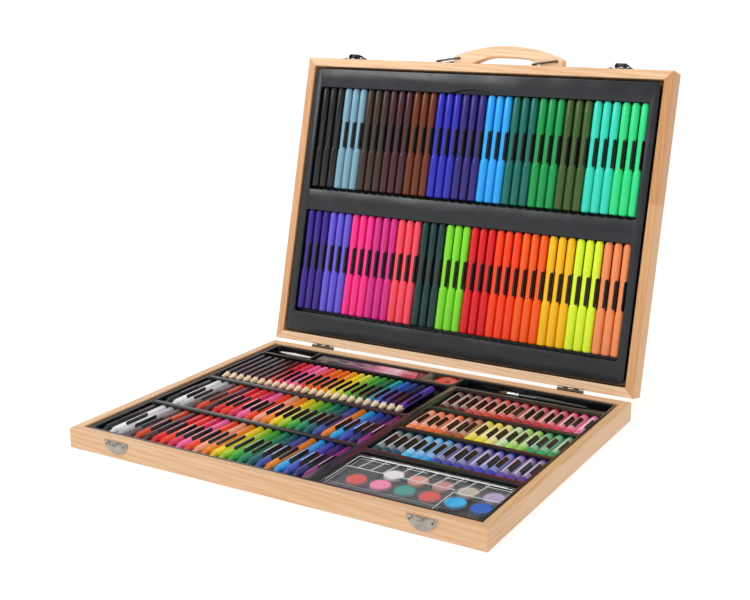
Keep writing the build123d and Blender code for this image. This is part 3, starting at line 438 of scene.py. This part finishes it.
crayon_colours = [
    "26272A", "F1F1F2", "BFC0C3", "6B5750", "D8481C", "56262E", "E01F22", "F03A22", "DC2F5A", "F56BA4",
    "F2481C", "F7A882", "F08A1A", "F8D41A", "A6CE2A", "3FA83A", "128A62", "12606A", "3B4FA0", "E8832A",
    "2FA6E8", "3D4FB8", "2C2A78", "8A2A78"]
crayon_outline = [
    (0.5, 0), (0.5, 4.2), (0, 4.35), (0, 4.65), (0.2, 4.8), (73.0, 4.8), (73.3, 4.7), (73.4, 4.3),
    (74.2, 4.1), (74.8, 3.5), (84.6, 1.95), (85.6, 1.4), (86.0, 0.6), (86.0, 0)]
crayon_sides = 16
crayon_pitch = 10.5 * mm
crayon_radius = 4.8 * mm
crayon_print_middle = 43 * mm
crayon_print_slant = 0.7
crayon_panel_half_width = 2.4 * mm
crayon_panel_half_length = 16.5 * mm
crayon_panel_blur = 0.08 * mm
crayon_stripe_offset = 3.5 * mm
crayon_stripe_half_width = 0.42 * mm
crayon_stripe_half_length = 12 * mm
crayon_stripe_blur = 0.06 * mm
crayon_sleeve_mouth = 73.35 * mm
crayon_wax_from = 73.45 * mm
crayon_grit = 0.05 * mm
seam_weld = 0.001 * mm


def turned(outline, sides):
    """A round piece turned about Z, from an outline of heights and radii in millimetres."""
    shape = bmesh.new()
    points = [shape.verts.new((radius * mm, 0.0, height * mm)) for height, radius in outline]
    edges = [shape.edges.new(pair) for pair in zip(points, points[1:])]
    bmesh.ops.spin(shape, geom=points + edges, cent=(0, 0, 0), axis=(0, 0, 1), angle=math.tau,
                   steps=sides, use_merge=True)
    bmesh.ops.remove_doubles(shape, verts=shape.verts, dist=seam_weld)
    bmesh.ops.recalc_face_normals(shape, faces=shape.faces)
    return shape


def laid(shape, places):
    """The shape once at each place, in one mesh."""
    first = list(shape.verts) + list(shape.edges) + list(shape.faces)
    own = list(shape.verts)
    for place in places[1:]:
        copied = bmesh.ops.duplicate(shape, geom=first)["geom"]
        corners = [part for part in copied if isinstance(part, bmesh.types.BMVert)]
        bmesh.ops.transform(shape, matrix=place, verts=corners)
    bmesh.ops.transform(shape, matrix=places[0], verts=own)
    return shape


def row_places(node, radius, pitch, count):
    """Where the sticks of a row start at the back, turned to point forward."""
    low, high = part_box(node)
    forward = Matrix.Rotation(math.radians(90), 4, "X")
    height = (low.z + high.z) / 2
    return [Matrix.Translation((low.x + radius + index * pitch, high.y, height)) @ forward
            for index in range(count)]


def row_index(place, first, pitch):
    """Which stick of a row a place is on, from the left, and how far it is to the side of that stick."""
    steps = (place.along(right) - first) / pitch + 0.5
    return steps.floor(), (steps.part() - 0.5) * pitch


def row_colours(index, codes, repeat=1):
    """One colour for each stick, or for each group of like sticks."""
    count = len(codes)
    stops = [(number / count, paint(code)) for number, code in enumerate(codes)]
    group = (index / repeat + 0.01).floor() if repeat > 1 else index
    return ((group + 0.5) / count).ramp(stops, "CONSTANT")


def panel_edge(across, along, half_width, half_length):
    """Distance from the edge of a round-ended panel, below zero inside it."""
    beyond = (abs(along) - (half_length - half_width)).at_least(0.0)
    return (across * across + beyond * beyond).root() - half_width


def stick_turn(index, row_start, spread, least):
    """How far each stick lies turned about its axis, by chance, differently in each row."""
    return (index + row_start * 90).floor().chance() * spread + least


def wax(name, node):
    """Wax in a glossy sleeve; distances run from the crayon's rear end."""
    material, place = new_material(name)
    low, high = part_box(node)
    index, side = row_index(place, low.x + crayon_radius, crayon_pitch)
    height = place.along(upright) - (low.z + high.z) / 2
    from_rear = high.y - place.along(rear)
    print_turn = stick_turn(index, low.y, 0.6, 0.22)
    around = (side.math("ARCTAN2", side, height) - print_turn) * crayon_radius
    colour = row_colours(index, crayon_colours)
    mottle = noise(place, 350.0, 3.0)
    colour = colour.tinted(grey(0.72), mottle.rise(0.45, 0.85) * 0.3)
    slanted = from_rear - crayon_print_middle - around * crayon_print_slant
    panel = panel_edge(around, slanted, crayon_panel_half_width, crayon_panel_half_length)
    stripe = panel_edge(around + crayon_stripe_offset, slanted, crayon_stripe_half_width,
                        crayon_stripe_half_length)
    striped = stripe.rise(crayon_stripe_blur, -crayon_stripe_blur)
    colour = (striped * 0.85).pick(colour, paint("F6F4F0"))
    colour = panel.rise(crayon_panel_blur, -crayon_panel_blur).pick(colour, paint("070708"))
    bare = from_rear.rise(crayon_sleeve_mouth, crayon_wax_from)
    colour = colour.tinted(grey(0.80), bare)
    return surface(material, place, colour, 0.22 + bare * 0.12, mottle, crayon_grit, coat_weight=0.12,
                   specular_ior_level=0.35)


for row in ("crayons_front", "crayons_middle"):
    places = row_places(row, crayon_radius, crayon_pitch, len(crayon_colours))
    crayons = laid(turned(crayon_outline, crayon_sides), places)
    finished("sleeved_" + row, crayons, "base", wax("wax_" + row, row), "wax", row)


# Pencils
# Hexagonal pencils in painted cedar, lying loose in their well, with a dark panel on one flat.
# The cut cone shows bare wood up to scallops in the paint, and the lead at the point.

pencil_colours = [
    "141416", "1B1B1E", "241F20", "2E2422", "3B1F20", "5A1A1E", "C41E24", "E2365E", "F0609A", "F57FA8",
    "F0504A", "F07A20", "EE6A14", "F2A61A", "F6DA20", "D9E04A", "63B83A", "2E9A3C", "136B3C", "1AA0A8",
    "1E60C8", "163C8A", "141A3C", "5A3AB0"]
pencil_pitch = 9.88 * mm
pencil_radius = 4.2 * mm
pencil_length = 85 * mm
pencil_cone = 17 * mm
pencil_point = 0.45 * mm
pencil_panel_middle = 42 * mm
pencil_panel_half_length = 17 * mm
pencil_panel_slant = 0.8
pencil_panel_left = 0.4 * mm
pencil_panel_right = 3.4 * mm
pencil_painted_below = 0.10 * mm
pencil_cut_within = 0.05 * mm
lead_from = 80.4 * mm
lead_whole = 80.6 * mm
cedar_grain_depth = 0.03 * mm


def painted_cedar(name):
    """Paint over cedar: bare where the surface lies on the sharpener's cone, painted elsewhere."""
    material, place = new_material(name)
    low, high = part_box("pencils")
    index, side = row_index(place, low.x + pencil_radius, pencil_pitch)
    height = place.along(upright) - (low.z + high.z) / 2
    from_rear = high.y - place.along(rear)
    from_axis = (side * side + height * height).root()
    cone = (pencil_length - from_rear) * ((pencil_radius - pencil_point) / pencil_cone) + pencil_point
    cut = (cone - from_axis).rise(pencil_painted_below, pencil_cut_within)
    colour = row_colours(index, pencil_colours)
    wear = noise(place, 420.0, 3.0)
    colour = colour.tinted(grey(0.7), wear.rise(0.5, 0.8) * 0.4)
    slanted = from_rear - side * pencil_panel_slant - pencil_panel_middle
    panel = abs(slanted) < pencil_panel_half_length
    panel = panel * (side > pencil_panel_left) * (side < pencil_panel_right)
    painted = panel.pick(colour, paint("0C0C0E"))
    grain = noise(stretched(place, rear, right, upright, 0.06), 900.0, 3.0)
    cedar = grain.ramp([(0.35, paint("E8C69A")), (0.65, paint("FBECD2"))])
    whole = cut.pick(painted, cedar)
    lead = from_rear.rise(lead_from, lead_whole)
    whole = lead.pick(whole, colour)
    return surface(material, place, whole, 0.22 + cut * 0.45, grain, cedar_grain_depth, coat_weight=0.12,
                   specular_ior_level=0.35)


dress("pencils", painted_cedar("painted_cedar"))


# Oil pastels
# Three rows of round pastels in paper sleeves that stop short of both ends, lying side by side in wells.
# Each sleeve is a paler tint of its stick, with a broad dark panel and a thin white line.

pastel_colours = {
    "pastels_rear": [
        "4A1A22", "5A1C26", "6A1E28", "C8483E", "D04A3E", "D44A3A", "D02C28", "C82028", "B41E30", "C0243C",
        "CC2A44", "D2304E", "E0386A", "E84A86", "F070A8"],
    "pastels_middle": [
        "F0905E", "F07C40", "EE6E30", "EA6A28", "A85028", "B05A2C", "E8DC3A", "F4E22E", "EEE478", "C9E2B0",
        "A8D85A", "98D24A", "2FA060", "28A86A", "2A9A5C"],
    "pastels_front": [
        "1C4A56", "1E5060", "204C64", "58BCEC", "4CB0E6", "3C9EDC", "34449C", "3C48A4", "4448A8", "4644A8",
        "3A42B4", "3440B4", "6A4AA8", "5E3E98", "5A3890"],
}
pastel_outline = [
    (0, 0), (0, 4.2), (0.5, 4.75), (1.2, 4.85), (5.0, 4.85), (5.0, 5.1), (5.2, 5.15), (46.5, 5.15),
    (46.7, 5.1), (46.7, 4.85), (57.2, 4.85), (58.2, 4.5), (58.5, 3.9), (58.5, 0)]
pastel_sides = 16
pastel_pitch = 10.95 * mm
pastel_radius = 5.15 * mm
pastel_sleeve_from = 5.0 * mm
pastel_sleeve_to = 46.7 * mm
pastel_print_middle = 25 * mm
pastel_print_slant = 0.3
pastel_panel_half_length = 12.5 * mm
pastel_panel_half_width = 2.8 * mm
pastel_line_offset = 3.9 * mm
pastel_line_half_width = 0.45 * mm
pastel_line_half_length = 19 * mm
pastel_crumb_depth = 0.04 * mm
paper_whiteness = 0.24


def oil_pastel(name, node):
    """Greasy pastel with a paper sleeve; distances run from the stick's rear end."""
    material, place = new_material(name)
    low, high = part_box(node)
    index, side = row_index(place, low.x + pastel_radius, pastel_pitch)
    height = place.along(upright) - (low.z + high.z) / 2
    from_rear = high.y - place.along(rear)
    print_turn = stick_turn(index, low.y, 0.7, 0.25)
    around = (side.math("ARCTAN2", side, height) - print_turn) * pastel_radius
    colour = row_colours(index, pastel_colours[node])
    paper = colour.node("ShaderNodeMix", {"data_type": "RGBA"}, {
        0: paper_whiteness, 6: colour, 7: paint("F2ECE8")}, output=2)
    sleeve = (from_rear > pastel_sleeve_from) * (from_rear < pastel_sleeve_to)
    slanted = from_rear - pastel_print_middle - around * pastel_print_slant
    panel = (abs(slanted) < pastel_panel_half_length) * (abs(around) < pastel_panel_half_width)
    line = abs(around + pastel_line_offset) < pastel_line_half_width
    line = line * (abs(from_rear - pastel_print_middle) < pastel_line_half_length)
    whole = sleeve.pick(colour, paper)
    whole = (line * 0.85).pick(whole, paint("FBF8F4"))
    whole = panel.pick(whole, paint("070708"))
    crumb = noise(place, 900.0, 3.0)
    return surface(material, place, whole, 0.42 - sleeve * 0.16, crumb, pastel_crumb_depth,
                   coat_weight=0.08, specular_ior_level=0.35)


for row in ("pastels_front", "pastels_middle", "pastels_rear"):
    places = row_places(row, pastel_radius, pastel_pitch, len(pastel_colours[row]))
    pastels = laid(turned(pastel_outline, pastel_sides), places)
    finished("sleeved_" + row, pastels, "base", oil_pastel("oil_" + row, row), "pastel_stick", row)


# Paint box
# A clear moulded tray of round water-colour cakes, dropped into its well, under a clear cover that turns
# on a steel pin. The moulding is nearly unseen face on, turns white where seen aslant as painted
# reflection, and its rims and folds are painted near-opaque white as painted highlights.

clear_haze_depth = 0.02 * mm
paint_tray_ease = 0.32 * mm
paint_cover_ease = 0.42 * mm


def clear_plastic(name, body, edge, roughness):
    """Clear moulded plastic painted white: as opaque as body face on, and denser by edge where it is seen
    aslant, as painted reflection.
    """
    material, place = new_material(name)
    facing = place.node("ShaderNodeLayerWeight", None, {"Blend": 0.30}, output=1)
    haze = noise(place, 240.0)
    alpha = (facing * edge + haze * 0.02 + body).at_most(1.0)
    return surface(material, place, paint("F4F6F8"), roughness + haze * 0.04, haze, clear_haze_depth,
                   alpha=alpha)


# The white where the plastic is seen aslant is painted reflection, and the rims' near-opaque white is
# painted highlight.
clear_walls_sheen = clear_plastic("clear_walls_sheen", 0.0, 0.09, 0.06)
rim_highlight_white = clear_plastic("rim_highlight_white", 0.80, 0.20, 0.22)
mouldings = (("paint_tray", "base", paint_tray_ease, True),
             ("paint_cover", "paint_cover", paint_cover_ease, False))
for node, body, ease, held in mouldings:
    shape, rims = eased_copy(node, ease, held)
    # The rounded rim faces take the painted highlight.
    for rim in rims:
        rim.material_index = 1
    moulding = finished("clear_" + node, shape, body, clear_walls_sheen, "clear_plastic", node)
    moulding.data.materials.append(rim_highlight_white)
dress("paint_box_pin", plated("cover_pin_steel", "C8C8C6", 0.25))

cake_colours = {
    "front": ["D9402F", "F07FA6", "1F8F84", "D63A30", "3DB0E8", "2B66C4"],
    "rear": ["2B2B30", "EDEBE8", "E09A86", "C9847E", "C8B6A4", "B79CC8"],
}
cake_outline = [(0, 0), (0, 9.6), (0.2, 9.8), (1.9, 9.8), (2.5, 9.5), (2.85, 8.9), (2.75, 8.0),
                (2.45, 5.0), (2.35, 0)]
cake_sides = 32
cake_radius = 9.8 * mm
cake_room = 2 * mm
cake_columns = len(cake_colours["front"])
chalk_depth = 0.10 * mm
cake_low, cake_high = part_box("paint_cakes")
cake_step_x = (cake_high.x - cake_low.x - 2 * cake_radius) / (cake_columns - 1)
cake_step_y = cake_high.y - cake_low.y - 2 * cake_radius


def dry_paint(name):
    """Chalky dry water-colour, one colour for each cake."""
    material, place = new_material(name)
    index = ((place.along(right) - cake_low.x + cake_room) / cake_step_x).floor()
    behind = place.along(rear) > (cake_low.y + cake_high.y) / 2
    front_colour = row_colours(index, cake_colours["front"])
    colour = behind.pick(front_colour, row_colours(index, cake_colours["rear"]))
    chalk = noise(place, 700.0, 4.0, 0.6)
    colour = colour.tinted(grey(0.75), chalk.rise(0.5, 0.8) * 0.35)
    return surface(material, place, colour, 0.55, chalk, chalk_depth)


cake_places = [Matrix.Translation((cake_low.x + cake_radius + column * cake_step_x,
                                   cake_low.y + cake_radius + row * cake_step_y, cake_low.z))
               for row in range(len(cake_colours)) for column in range(cake_columns)]
cakes = laid(turned(cake_outline, cake_sides), cake_places)
finished("colour_cakes", cakes, "base", dry_paint("dry_paint"), "paint", "paint_cakes")


# Rear strip
# Three brushes with painted handles, metal ferrules and soft hair, a round sharpener, and a soft packet
# of thin shining film with crimped ends. All lie loose in their own wells.

lacquer_depth = 0.02 * mm
flutes_from = 13.2 * mm
flute_count = 60.0
flute_depth = 0.25 * mm


def lacquer(name, code, roughness, left_code=None):
    """Glossy paint; left_code is the tone of what lies left of the case's middle."""
    material, place = new_material(name)
    mottle = noise(place, 300.0)
    colour = mottle.pick(paint(code, 0.85), paint(code, 1.1))
    if left_code is not None:
        colour = (place.along(right) < 0.0).pick(colour, paint(left_code))
    return surface(material, place, colour, roughness + mottle * 0.06, mottle, lacquer_depth,
                   coat_weight=0.3)


def fluted(name, code, centre):
    """Glossy moulded plastic with fine flutes round its rim."""
    material, place = new_material(name)
    inward = place.less(centre)
    turn = inward.math("ARCTAN2", inward.along(right), inward.along(rear))
    distance = inward.node("ShaderNodeVectorMath", {"operation": "LENGTH"}, {0: inward}, output=1)
    flutes = turn.math("SINE", turn * flute_count) * (distance > flutes_from)
    speck = noise(place, 500.0)
    colour = speck.pick(paint(code, 0.85), paint(code, 1.15))
    return surface(material, place, colour, 0.09 + speck * 0.05, flutes, flute_depth, coat_weight=0.3)


dress("brush_handles", lacquer("brush_lacquer", "17181C", 0.15, "F2F0EE"))
dress("brush_ferrules", plated("ferrule_nickel", "C9C9CC", 0.22))
dress("brush_tips", lacquer("brush_hair", "5A3A24", 0.6))
sharpener_low, sharpener_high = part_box("sharpener_body")
sharpener_middle = (sharpener_low + sharpener_high) / 2
cap_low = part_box("sharpener_lid")[0]
cap_seat = Vector((sharpener_middle.x, sharpener_middle.y, cap_low.z))
# The body's red is darker than the cap's red: painted shade on the sharpener's side.
dress("sharpener_body", fluted("sharpener_red_shaded", "8E0F0F", sharpener_middle))
sharpener_outline = [(0, 0), (0, 13.6), (0.3, 14.0), (1.6, 14.0), (2.3, 13.7), (2.9, 12.6), (3.0, 11.8),
                     (2.7, 11.2), (2.2, 10.6), (2.1, 4.2), (2.9, 3.6), (3.0, 3.0), (3.0, 0)]
sharpener_sides = 48
sharpener_cap = laid(turned(sharpener_outline, sharpener_sides), [Matrix.Translation(cap_seat)])
finished("sharpener_cap", sharpener_cap, "base", fluted("sharpener_cap_red", "C41212", cap_seat),
         "red_plastic", "sharpener_lid")

packet_low, packet_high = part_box("film_packet")
packet_seam = packet_high.z - 1.2 * mm
packet_crown = packet_high.z - 0.7 * mm
packet_seal_from = 0.90
packet_slope = 0.22
crimp_height = 0.3 * mm
crimp_count = 230
fold_height = 0.40 * mm
fold_depth = 0.5 * mm
film_end_slant = 2.2


def packet_fullness(u, v):
    """0 at the crimped ends and along the sides, 1 in the middle of the packet."""
    to_seal = max(0.0, min(1.0, (packet_seal_from - abs(u)) / packet_slope))
    return to_seal * to_seal * (3 - 2 * to_seal) * math.sqrt(max(0.0, 1 - v ** 4))


def packet_point(u, v, upper):
    """A place on the packet, from its share of the way to each end and side, between -1 and 1."""
    full = packet_fullness(u, v)
    x = packet_low.x + (u + 1) / 2 * (packet_high.x - packet_low.x)
    y = packet_low.y + (v + 1) / 2 * (packet_high.y - packet_low.y)
    crimp = crimp_height * math.sin(u * crimp_count) if abs(u) > packet_seal_from else 0.0
    if not upper:
        return Vector((x, y, packet_seam - (packet_seam - packet_low.z) * full + crimp))
    fold = fold_height * math.sin(11 * u + 3 * v) * math.sin(5 * v - 7 * u + 1.3) * full * (1.6 - full)
    return Vector((x, y, packet_seam + (packet_crown - packet_seam) * full + crimp + fold))


packet = bmesh.new()
bmesh.ops.create_grid(packet, x_segments=72, y_segments=14, size=1.0)
packet_top = list(packet.verts)
packet_whole = packet_top + list(packet.edges) + list(packet.faces)
packet_copy = bmesh.ops.duplicate(packet, geom=packet_whole)["geom"]
packet_under = [part for part in packet_copy if isinstance(part, bmesh.types.BMVert)]
for corners, upper in ((packet_top, True), (packet_under, False)):
    for corner in corners:
        corner.co = packet_point(corner.co.x, corner.co.y, upper)
bmesh.ops.remove_doubles(packet, verts=packet.verts, dist=seam_weld)
bmesh.ops.recalc_face_normals(packet, faces=packet.faces)


def film(name):
    """Thin coloured film that shifts from navy to pink along the packet, clear at its right end."""
    material, place = new_material(name)
    along = (place.along(right) - packet_low.x) / (packet_high.x - packet_low.x)
    folds = noise(place, 60.0, 3.0, 0.5, 0.4)
    shift = along + (folds - 0.5) * 0.22
    colour = shift.ramp([
        (0.05, paint("1B1A34")), (0.30, paint("2E2358")), (0.48, paint("7A2A6A")), (0.62, paint("D678A8")),
        (0.74, paint("E7BCD2")), (0.86, paint("C2405E")), (0.97, paint("E2526A"))])
    slanted_end = along + (place.along(rear) - packet_low.y) * film_end_slant
    clear = slanted_end.rise(0.955, 0.965)
    return surface(material, place, colour, 0.14 + folds * 0.1, folds, fold_depth, coat_weight=0.5,
                   alpha=1.0 - clear * 0.72)


finished("soft_packet", packet, "base", film("packet_film"), "film", "film_packet")


# Lid tray
# One sheet of dark grey satin plastic, drawn down into two wide wells, with a scoop for a fingertip.
# Its lands have soft dents from cooling off the mould, and it sits tight inside the lid's rails.

lid_tray_drop = 1.0 * mm
lid_tray_ease = 0.5 * mm
lid_tray_dents = 3.0 * mm
lid_land = lid_corner.dot(-lid_back) - lid_tray_drop
# The lands' lighter grey is painted sheen over the dark grey of the sheet.
grey_sheet = formed_sheet("grey_formed_sheet", "14171A", "2A2E33", -lid_back, lid_land, 0.25,
                          lid_tray_dents)
grey_tray = eased_copy("lid_tray", lid_tray_ease)[0]
finished("grey_tray", grey_tray, "lid", grey_sheet, "grey_sheet", "lid_tray")


# Markers
# Moulded felt-tip markers in two wells, three of each colour, caps towards the hinges. The cap narrows at
# its mouth to a shoulder. The barrel has a round-ended dark panel on its right flank, ringed by a thin
# painted highlight, then a plugged end.

marker_pitch = 10.65 * mm
marker_depth = 7.0 * mm
marker_start = {"lower": 40.2 * mm, "upper": 191.1 * mm}
marker_repeat = 3
marker_colours = {
    "lower": [
        "3A1F8C", "6A5AD8", "FF2F92", "DE2A8C", "FF4F64", "123A38", "86E52E", "E3161F", "FF4310", "FF5F0A",
        "FFC40A", "E4FA2E", "F5935A"],
    "upper": [
        "17181C", "7FA9BC", "3D2B23", "46202A", "6B2F14", "2B2BB5", "2E2378", "2BA8F5", "0B6B60", "0E9A4C",
        "3D5B25", "33DDC0", "2FE08A"],
}
marker_count = marker_repeat * len(marker_colours["lower"])
marker_first = -(marker_count // 2) * marker_pitch
marker_sides = 14
marker_grain_depth = 0.02 * mm
barrel_radius = 4.25 * mm
barrel_panel_turn = 0.95
barrel_panel_middle = 65.5 * mm
barrel_panel_half_width = 2.3 * mm
barrel_panel_half_length = 16 * mm
panel_highlight_outside = 0.30 * mm
panel_highlight_inside = 0.15 * mm
panel_blur = 0.04 * mm
cap_outline = [(0, 0), (0, 3.4), (0.3, 4.2), (1.0, 4.85), (2.0, 5.1), (41.5, 5.1), (45.5, 4.9),
               (47.6, 4.65), (48, 4.5), (48, 0)]
barrel_outline = [(48, 0), (48, 4.2), (51, 4.2), (81, 4.25), (85, 4.6), (118.5, 4.6), (119.3, 4.35),
                  (119.5, 3.9), (121.0, 3.85), (121.5, 3.4), (121.5, 0)]


def marker_plastic(name, row, barrel):
    """Moulded plastic, one colour for each group of markers; the barrels have a dark panel as well, ringed
    by a thin painted highlight.
    """
    material, place = new_material(name)
    in_lid = place.less(lid_corner)
    index, side = row_index(in_lid, marker_first, marker_pitch)
    from_cap = in_lid.along(lid_up) - marker_start[row]
    colour = row_colours(index, marker_colours[row], marker_repeat)
    skin = noise(place, 500.0)
    colour = colour.tinted(grey(0.82), skin.rise(0.4, 0.8) * 0.3)
    if barrel:
        towards = marker_depth - in_lid.along(lid_back)
        around = (side.math("ARCTAN2", side, towards) - barrel_panel_turn) * barrel_radius
        edge = panel_edge(around, from_cap - barrel_panel_middle, barrel_panel_half_width,
                          barrel_panel_half_length)
        # A thin light grey ring just outside the dark panel is a painted highlight on the panel's edge.
        highlight_ring = edge.rise(panel_highlight_outside, panel_highlight_inside)
        colour = (highlight_ring * 0.6).pick(colour, paint("8A8480"))
        colour = edge.rise(panel_blur, -panel_blur).pick(colour, paint("121214"))
    return surface(material, place, colour, 0.27 + skin * 0.06, skin, marker_grain_depth,
                   coat_weight=0.06, specular_ior_level=0.4)


upwards = Matrix((right, lid_up.cross(right), lid_up)).transposed().to_4x4()
for row, start in marker_start.items():
    places = [Matrix.Translation(lid_corner + right * (marker_first + index * marker_pitch)
                                 + lid_up * start + lid_back * marker_depth) @ upwards
              for index in range(marker_count)]
    finished("marker_caps_of_" + row, laid(turned(cap_outline, marker_sides), places), "lid",
             marker_plastic("marker_cap_" + row, row, False), "marker_cap", "marker_caps_" + row)
    finished("marker_bodies_of_" + row, laid(turned(barrel_outline, marker_sides), places), "lid",
             marker_plastic("marker_barrel_" + row, row, True), "marker_body", "marker_barrels_" + row)


# Catches
# Two pressed draw catches, screwed on: nickel half-moon plates with a hooked tongue on the base, and a
# plate, lever and wire loop on the lid, riveted together, their nickel painted near black as painted shade.

catch_plate_ease = 0.16 * mm
catch_lever_ease = 0.15 * mm
catch_half_width = 14.87 * mm
catch_screw_gap = 22 * mm
latch_screw_rise = 6.3 * mm
nickel = plated("catch_nickel", "A9A49B", 0.24)
# The lid's catch parts are nickel plate painted near black: painted shade.
shaded_nickel = plated("nickel_painted_shade", "26262A", 0.34)
strikes = eased_copy("strike_plates", catch_plate_ease)[0]
finished("strikes", strikes, "base", nickel, "nickel_plate", "strike_plates")
catch_plates = eased_copy("latch_plates", catch_plate_ease)[0]
finished("catch_plates", catch_plates, "lid", shaded_nickel, "nickel_plate", "latch_plates")
catch_low, catch_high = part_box("strike_plates")
catch_middles = [catch_low.x + catch_half_width, catch_high.x - catch_half_width]
strike_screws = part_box("strike_screws")
strike_screw_height = (strike_screws[0].z + strike_screws[1].z) / 2
latch_screw_height = lid_corner.dot(lid_back) + latch_screw_rise
dress("strike_screws", cross_head("strike_screw_heads", "B5B0A6", upright, catch_middles,
                                  catch_screw_gap, strike_screw_height))
# The lid's screw heads are painted dark grey as painted shade, like the lid's catch parts.
dress("latch_screws", cross_head("latch_screw_heads", "3A3A3E", lid_back, catch_middles,
                                 catch_screw_gap, latch_screw_height))
dress("latch_rivets", shaded_nickel)
for side in ("left", "right"):
    lever = side + "_latch_lever"
    lever_shape = eased_copy(lever, catch_lever_ease)[0]
    finished(side + "_lever", lever_shape, lever, shaded_nickel, "nickel_plate", lever)
    dress(side + "_latch_loop", shaded_nickel)


# Handle
# An arched grip of lacquered beech on two bails of steel wire.
# The bails swing in plated eye plates that are screwed to the lid's front rail.

eye_plate_ease = 0.15 * mm
eye_screw_radius = 2.3 * mm
eye_screw_rise = 12.5 * mm
dress("handle_grip", beech("beech_handle", right, lid_back, lid_up, lid_middle, None, 10.7,
                           tone_and_shade="FFFFFF"))
dark_wire = plated("bail_wire", "5C554C", 0.30)
eye_plates = eased_copy("handle_eye_plates", eye_plate_ease)[0]
finished("eye_plates", eye_plates, "lid", nickel, "plated_steel", "handle_eye_plates")
eye_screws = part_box("handle_eye_screws")
eye_middles = [eye_screws[0].x + eye_screw_radius, eye_screws[1].x - eye_screw_radius]
eye_screw_height = lid_corner.dot(lid_back) + eye_screw_rise
dress("handle_eye_screws", cross_head("eye_screw_heads", "A9A49B", lid_back, eye_middles, 0.0,
                                      eye_screw_height))
for name in ("left_bail", "right_bail"):
    dress(name, dark_wire)


# Studio
# A pale, softly lit floor that turns up into a far wall all round, two broad lamps overhead,
# and a camera at the angle of the photograph.

floor_radius = 12.0
floor_sides = 64
floor_glow = 0.73
wall_height = 3.2
air_strength = 0.62
bpy.context.scene.view_settings.view_transform = "Standard"
floor_shape = bmesh.new()
bmesh.ops.create_circle(floor_shape, cap_ends=True, segments=floor_sides, radius=floor_radius)
floor_rim = [edge for edge in floor_shape.edges if edge.is_boundary]
far_wall = bmesh.ops.extrude_edge_only(floor_shape, edges=floor_rim)["geom"]
wall_top = [part for part in far_wall if isinstance(part, bmesh.types.BMVert)]
bmesh.ops.translate(floor_shape, verts=wall_top, vec=(0, 0, wall_height))
bmesh.ops.recalc_face_normals(floor_shape, faces=floor_shape.faces)
floor_mesh = bpy.data.meshes.new("studio_floor")
floor_shape.to_mesh(floor_mesh)
floor_shape.free()
floor_material, floor_place = new_material("studio_white")
surface(floor_material, floor_place, grey(0.40), 0.95, emission_color=grey(1.0),
        emission_strength=floor_glow)
floor_mesh.materials.append(floor_material)
floor = bpy.data.objects.new("studio_floor", floor_mesh)
bpy.context.scene.collection.objects.link(floor)

world = bpy.data.worlds.new("studio_air")
bpy.context.scene.world = world
world.use_nodes = True
world.node_tree.nodes["Background"].inputs["Color"].default_value = grey(1.0)
world.node_tree.nodes["Background"].inputs["Strength"].default_value = air_strength


def soft_light(name, place, target, size, power):
    """A square lamp at a place, turned towards its target."""
    lamp = bpy.data.lights.new(name, "AREA")
    lamp.shape = "SQUARE"
    lamp.size = size
    lamp.energy = power
    holder = bpy.data.objects.new(name, lamp)
    holder.location = place
    holder.rotation_euler = (Vector(target) - Vector(place)).to_track_quat("-Z", "Y").to_euler()
    bpy.context.scene.collection.objects.link(holder)


soft_light("key_light", (-1.5, -1.3, 1.9), (0, 0.05, 0.1), 1.0, 26.0)
soft_light("top_light", (-0.3, 0.1, 2.2), (0, 0, 0), 1.2, 9.0)

camera_turn = 0.5193
camera_tilt = 0.2372
level = math.cos(camera_tilt)
looking = Vector((-math.sin(camera_turn) * level, math.cos(camera_turn) * level, -math.sin(camera_tilt)))
camera_data = bpy.data.cameras.new("photo_camera")
camera_data.lens = 57.485
camera_data.sensor_width = 36.0
camera_data.shift_x = -0.0329
camera_data.shift_y = -0.0359
camera_data.clip_start = 0.05
camera_data.clip_end = 120.0
camera = bpy.data.objects.new("photo_camera", camera_data)
bpy.context.scene.collection.objects.link(camera)
camera.location = (0.6107, -0.9840, 0.4497)
camera.rotation_euler = looking.to_track_quat("-Z", "Y").to_euler()
bpy.context.scene.camera = camera
